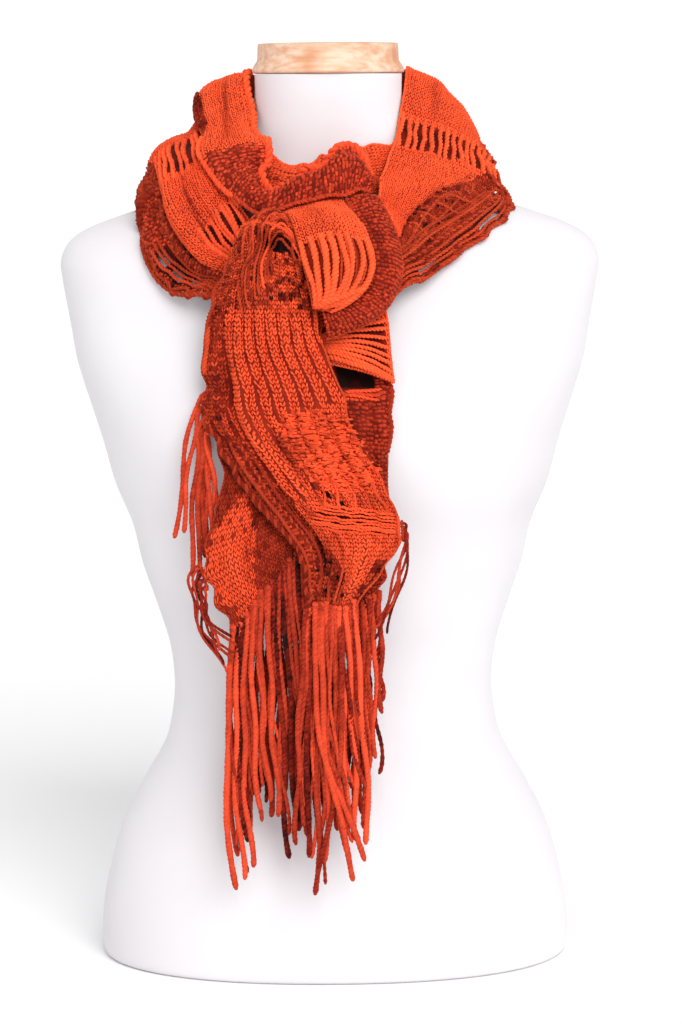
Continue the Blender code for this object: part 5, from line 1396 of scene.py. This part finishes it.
def wood_material():
    """Pale turned wood with streaks of a warmer brown."""
    mat, tree, place = new_material("cap_wood")
    stretch = shader_node(tree, "Mapping", {"Vector": place, "Scale": (14.0, 60.0, 90.0)}, "Vector")
    grain, stain = noise(tree, stretch, 3.0, 6.0), noise(tree, place, 28.0, 4.0)
    wood = ramp(tree, grain, ((0.32, colour((214, 158, 121))), (0.62, colour((230, 200, 174)))))
    mask = ramp(tree, stain, ((0.52, (0.0, 0.0, 0.0, 1.0)), (0.75, (1.0, 1.0, 1.0, 1.0))))
    # of a Mix node that blends colours, the two colours are inputs 6 and 7, and the result is output 2
    feed(tree, tree.nodes["Principled BSDF"], {
        "Base Color": shader_node(tree, "Mix", {"Factor": mask, 6: wood, 7: colour((203, 134, 88))}, 2,
                                  data_type="RGBA"),
        "Normal": bump(tree, grain, 0.3, 0.0003), "Roughness": 0.55,
    })
    return mat


# ---------------------------------------------------------------- pieces
YARN = {
    "bright_knit": yarn_material("bright_knit", (124, 24, 9), (255, 96, 52)),
    "dark_knit": yarn_material("dark_knit", (112, 22, 10), (250, 84, 46)),
    "mixed_knit": yarn_material("mixed_knit", (116, 22, 9), (255, 92, 50)),
    "fringe_yarn": yarn_material("fringe_yarn", (116, 20, 9), (246, 84, 50)),
}
SLOT = {
    "scarf_wrap_left": "mixed_knit", "scarf_rear_tail": "mixed_knit", "scarf_front_tail": "mixed_knit",
    "scarf_side_tail": "dark_knit", "scarf_knot_band": "dark_knit", "scarf_front_roll": "dark_knit",
}


def finished(piece, nodes=()):
    """A piece rides on the body and stands for its nodes, which are hidden."""
    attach(piece, "root")
    if nodes:
        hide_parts(*nodes)
    return piece


def turned(rings, name, material):
    """A closed skin over rings of equal length, with flat ends."""
    mesh = Mesh()
    closed_tube(mesh, rings, [np.mean(rings[0], axis=0), np.mean(rings[-1], axis=0)], 1.0)
    piece = mesh.piece(name, material)
    piece.data.set_sharp_from_angle(angle=math.radians(SHARP_ANGLE))
    return piece


def form_ring(z, half_width, front, back, shift, squareness=2.0):
    """Points round the form at a height; a squareness of 2 is an ellipse."""
    angle = 2 * math.pi * np.arange(FORM_FINE) / FORM_FINE
    c, s = np.cos(angle), np.sin(angle)
    power = 2.0 / squareness
    depth = np.where(s > 0, back, front)
    x = half_width * np.sign(c) * np.abs(c) ** power
    y = depth * np.sign(s) * np.abs(s) ** power + shift
    return np.stack([x, y, np.full(FORM_FINE, z)], axis=1)


def through(rows, count):
    """The rows of a table with others on a smooth curve between them."""
    return spline(rows, np.linspace(0, 1, count * (len(rows) - 1) + 1))


def dress_form():
    """The form's skin, finer than its solid, and the turned cap."""
    shift = FORM_RINGS[-1][4]
    skin = [form_ring(*row, FORM_SQUARENESS) for row in through(FORM_RINGS, 6)]
    cap = []
    for share, height in through(CAP_PROFILE, 4):
        radius = CAP_RADIUS * share
        z = NECK_TOP + SEAM_GAP + CAP_HEIGHT * min(1.0, height)
        cap.append(form_ring(z, radius, radius, radius, shift))
    finished(turned(skin, "form_skin", jersey_material()), ("form_torso",))
    finished(turned(cap, "form_cap", wood_material()), ("form_neck_cap",))


def dress_stretch(cloth, name, first, last):
    """Ground, stitches and strands of one stretch; the ground stands for its node."""
    slot = SLOT.get(name, "bright_knit")
    ground, width, length, solid = shell(cloth, first, last)
    base = finished(ground.piece(name + "_ground", YARN[slot]), (name,))
    knit, strands = Mesh(), Mesh()
    stitches(knit, cloth, first, last)
    pieces = [finished(knit.piece(name + "_stitches", YARN[slot]))]
    for draw in (loose_strands, arcs, edge_cords):
        draw(strands, cloth, first, last)
    pieces.append(finished(strands.piece(name + "_strands", YARN[slot])))
    return base, pieces, (width, length), width * length * solid


def dress_scarf():
    """All the ribbons in the order in which they lie on each other."""
    nodes = frame["nodes"]
    beneath = [nodes["form_torso"]]
    cloths, made = {}, {}
    for key, rows, stretches, across, side, reach, ribs in RIBBONS:
        points, shares, ends = ribbon_grid(key, rows, stretches, across, side, reach, ribs, beneath)
        cloth = Cloth(key, points, shares, side)
        cloths[key] = cloth
        for index, (name, end, cells) in enumerate(stretches):
            made[name] = dress_stretch(cloth, name, ends[index], ends[index + 1])
            beneath.append(nodes[name])
    return cloths, made


def dress_fringe(cloths):
    """Fringes and net strands, on the same paths as their solids, by the tail that they belong to."""
    rear, side, front = (cloths[key].points for key in ("rear_tail", "side_tail", "front_tail"))
    hems = {
        "fringe_rear": (hem_of(rear), DOWN),
        "fringe_back": (hem_behind(BACK_HEM, frame["nodes"]["scarf_rear_tail"]), DOWN),
        "fringe_left": (side_hem_of(rear, LEFT_ROWS, 0), LEFT),
        "net_left": (side_hem_of(rear, NET_LEFT_ROWS, 0), LEFT),
        "fringe_front": (hem_of(front), DOWN),
        "net_right": (side_hem_of(front, NET_RIGHT_ROWS, -1), -LEFT),
        "fringe_side": (hem_of(side), DOWN),
    }
    pieces = {}
    for tail, name, cords, radius, tone, sway, overlap in FRINGES:
        hem, grow = hems[name]
        paths = hanging_cords(hem, cords) if grow is DOWN else side_cords(hem, cords, grow)
        piece = fringe_piece(name, paths, radius, tone, hem, grow, sway, overlap)
        pieces.setdefault(tail, []).append(piece)
    return pieces


def declare(made, fringes):
    """Goes over each stretch's pieces and its fringes, and does nothing with them."""
    for name, (base, pieces, flat, area) in made.items():
        pieces = pieces + fringes.get(name, [])


# ---------------------------------------------------------------- stage, light and camera
def stage():
    """A plain pale floor."""
    floor = bpy.data.meshes.new("floor")
    corners = [(x * FLOOR_REACH, y * FLOOR_REACH, 0) for x, y in ((-1, -1), (1, -1), (1, 1), (-1, 1))]
    floor.from_pydata(corners, [], [(0, 1, 2, 3)])
    mat, tree, _ = new_material("floor")
    feed(tree, tree.nodes["Principled BSDF"], {"Base Color": colour((250, 250, 250)), "Roughness": 0.9})
    floor.materials.append(mat)
    obj = bpy.data.objects.new("floor", floor)
    bpy.context.scene.collection.objects.link(obj)


def lights():
    """A white room, brightest near the horizon, and one wide soft light from the front right."""
    world = bpy.data.worlds.new("studio")
    world.use_nodes = True
    tree = world.node_tree
    place = shader_node(tree, "TexCoord", {}, "Generated")
    height = shader_node(tree, "SeparateXYZ", {"Vector": place}, "Z")
    sky = ramp(tree, height, ((0.05, (1.0, 1.0, 1.0, 1.0)), (0.40, (0.66, 0.66, 0.67, 1.0))))
    feed(tree, tree.nodes["Background"], {"Color": sky, "Strength": 1.05})
    bpy.context.scene.world = world
    key = bpy.data.lights.new("key", "SUN")
    key.energy, key.angle = KEY_ENERGY, math.radians(KEY_WIDTH)
    obj = bpy.data.objects.new("key", key)
    obj.rotation_euler = Vector(KEY_RAYS).to_track_quat("-Z", "Y").to_euler()
    bpy.context.scene.collection.objects.link(obj)
    bpy.context.scene.view_settings.view_transform = "Standard"


def camera():
    """The photograph's view: level with the neck, tilted down a little, with a slight roll."""
    data = bpy.data.cameras.new("camera")
    data.sensor_fit, data.sensor_height = "VERTICAL", 36.0
    data.lens = CAMERA_LENS
    obj = bpy.data.objects.new("camera", data)
    tilt = Matrix.Rotation(math.radians(90 - CAMERA_TILT), 3, "X")
    roll = Matrix.Rotation(math.radians(-CAMERA_ROLL), 3, "Z")
    obj.matrix_world = Matrix.Translation(CAMERA_PLACE) @ (tilt @ roll).to_4x4()
    bpy.context.scene.collection.objects.link(obj)
    bpy.context.scene.camera = obj


dress_form()
cloths, made = dress_scarf()
declare(made, dress_fringe(cloths))
stage()
lights()
camera()
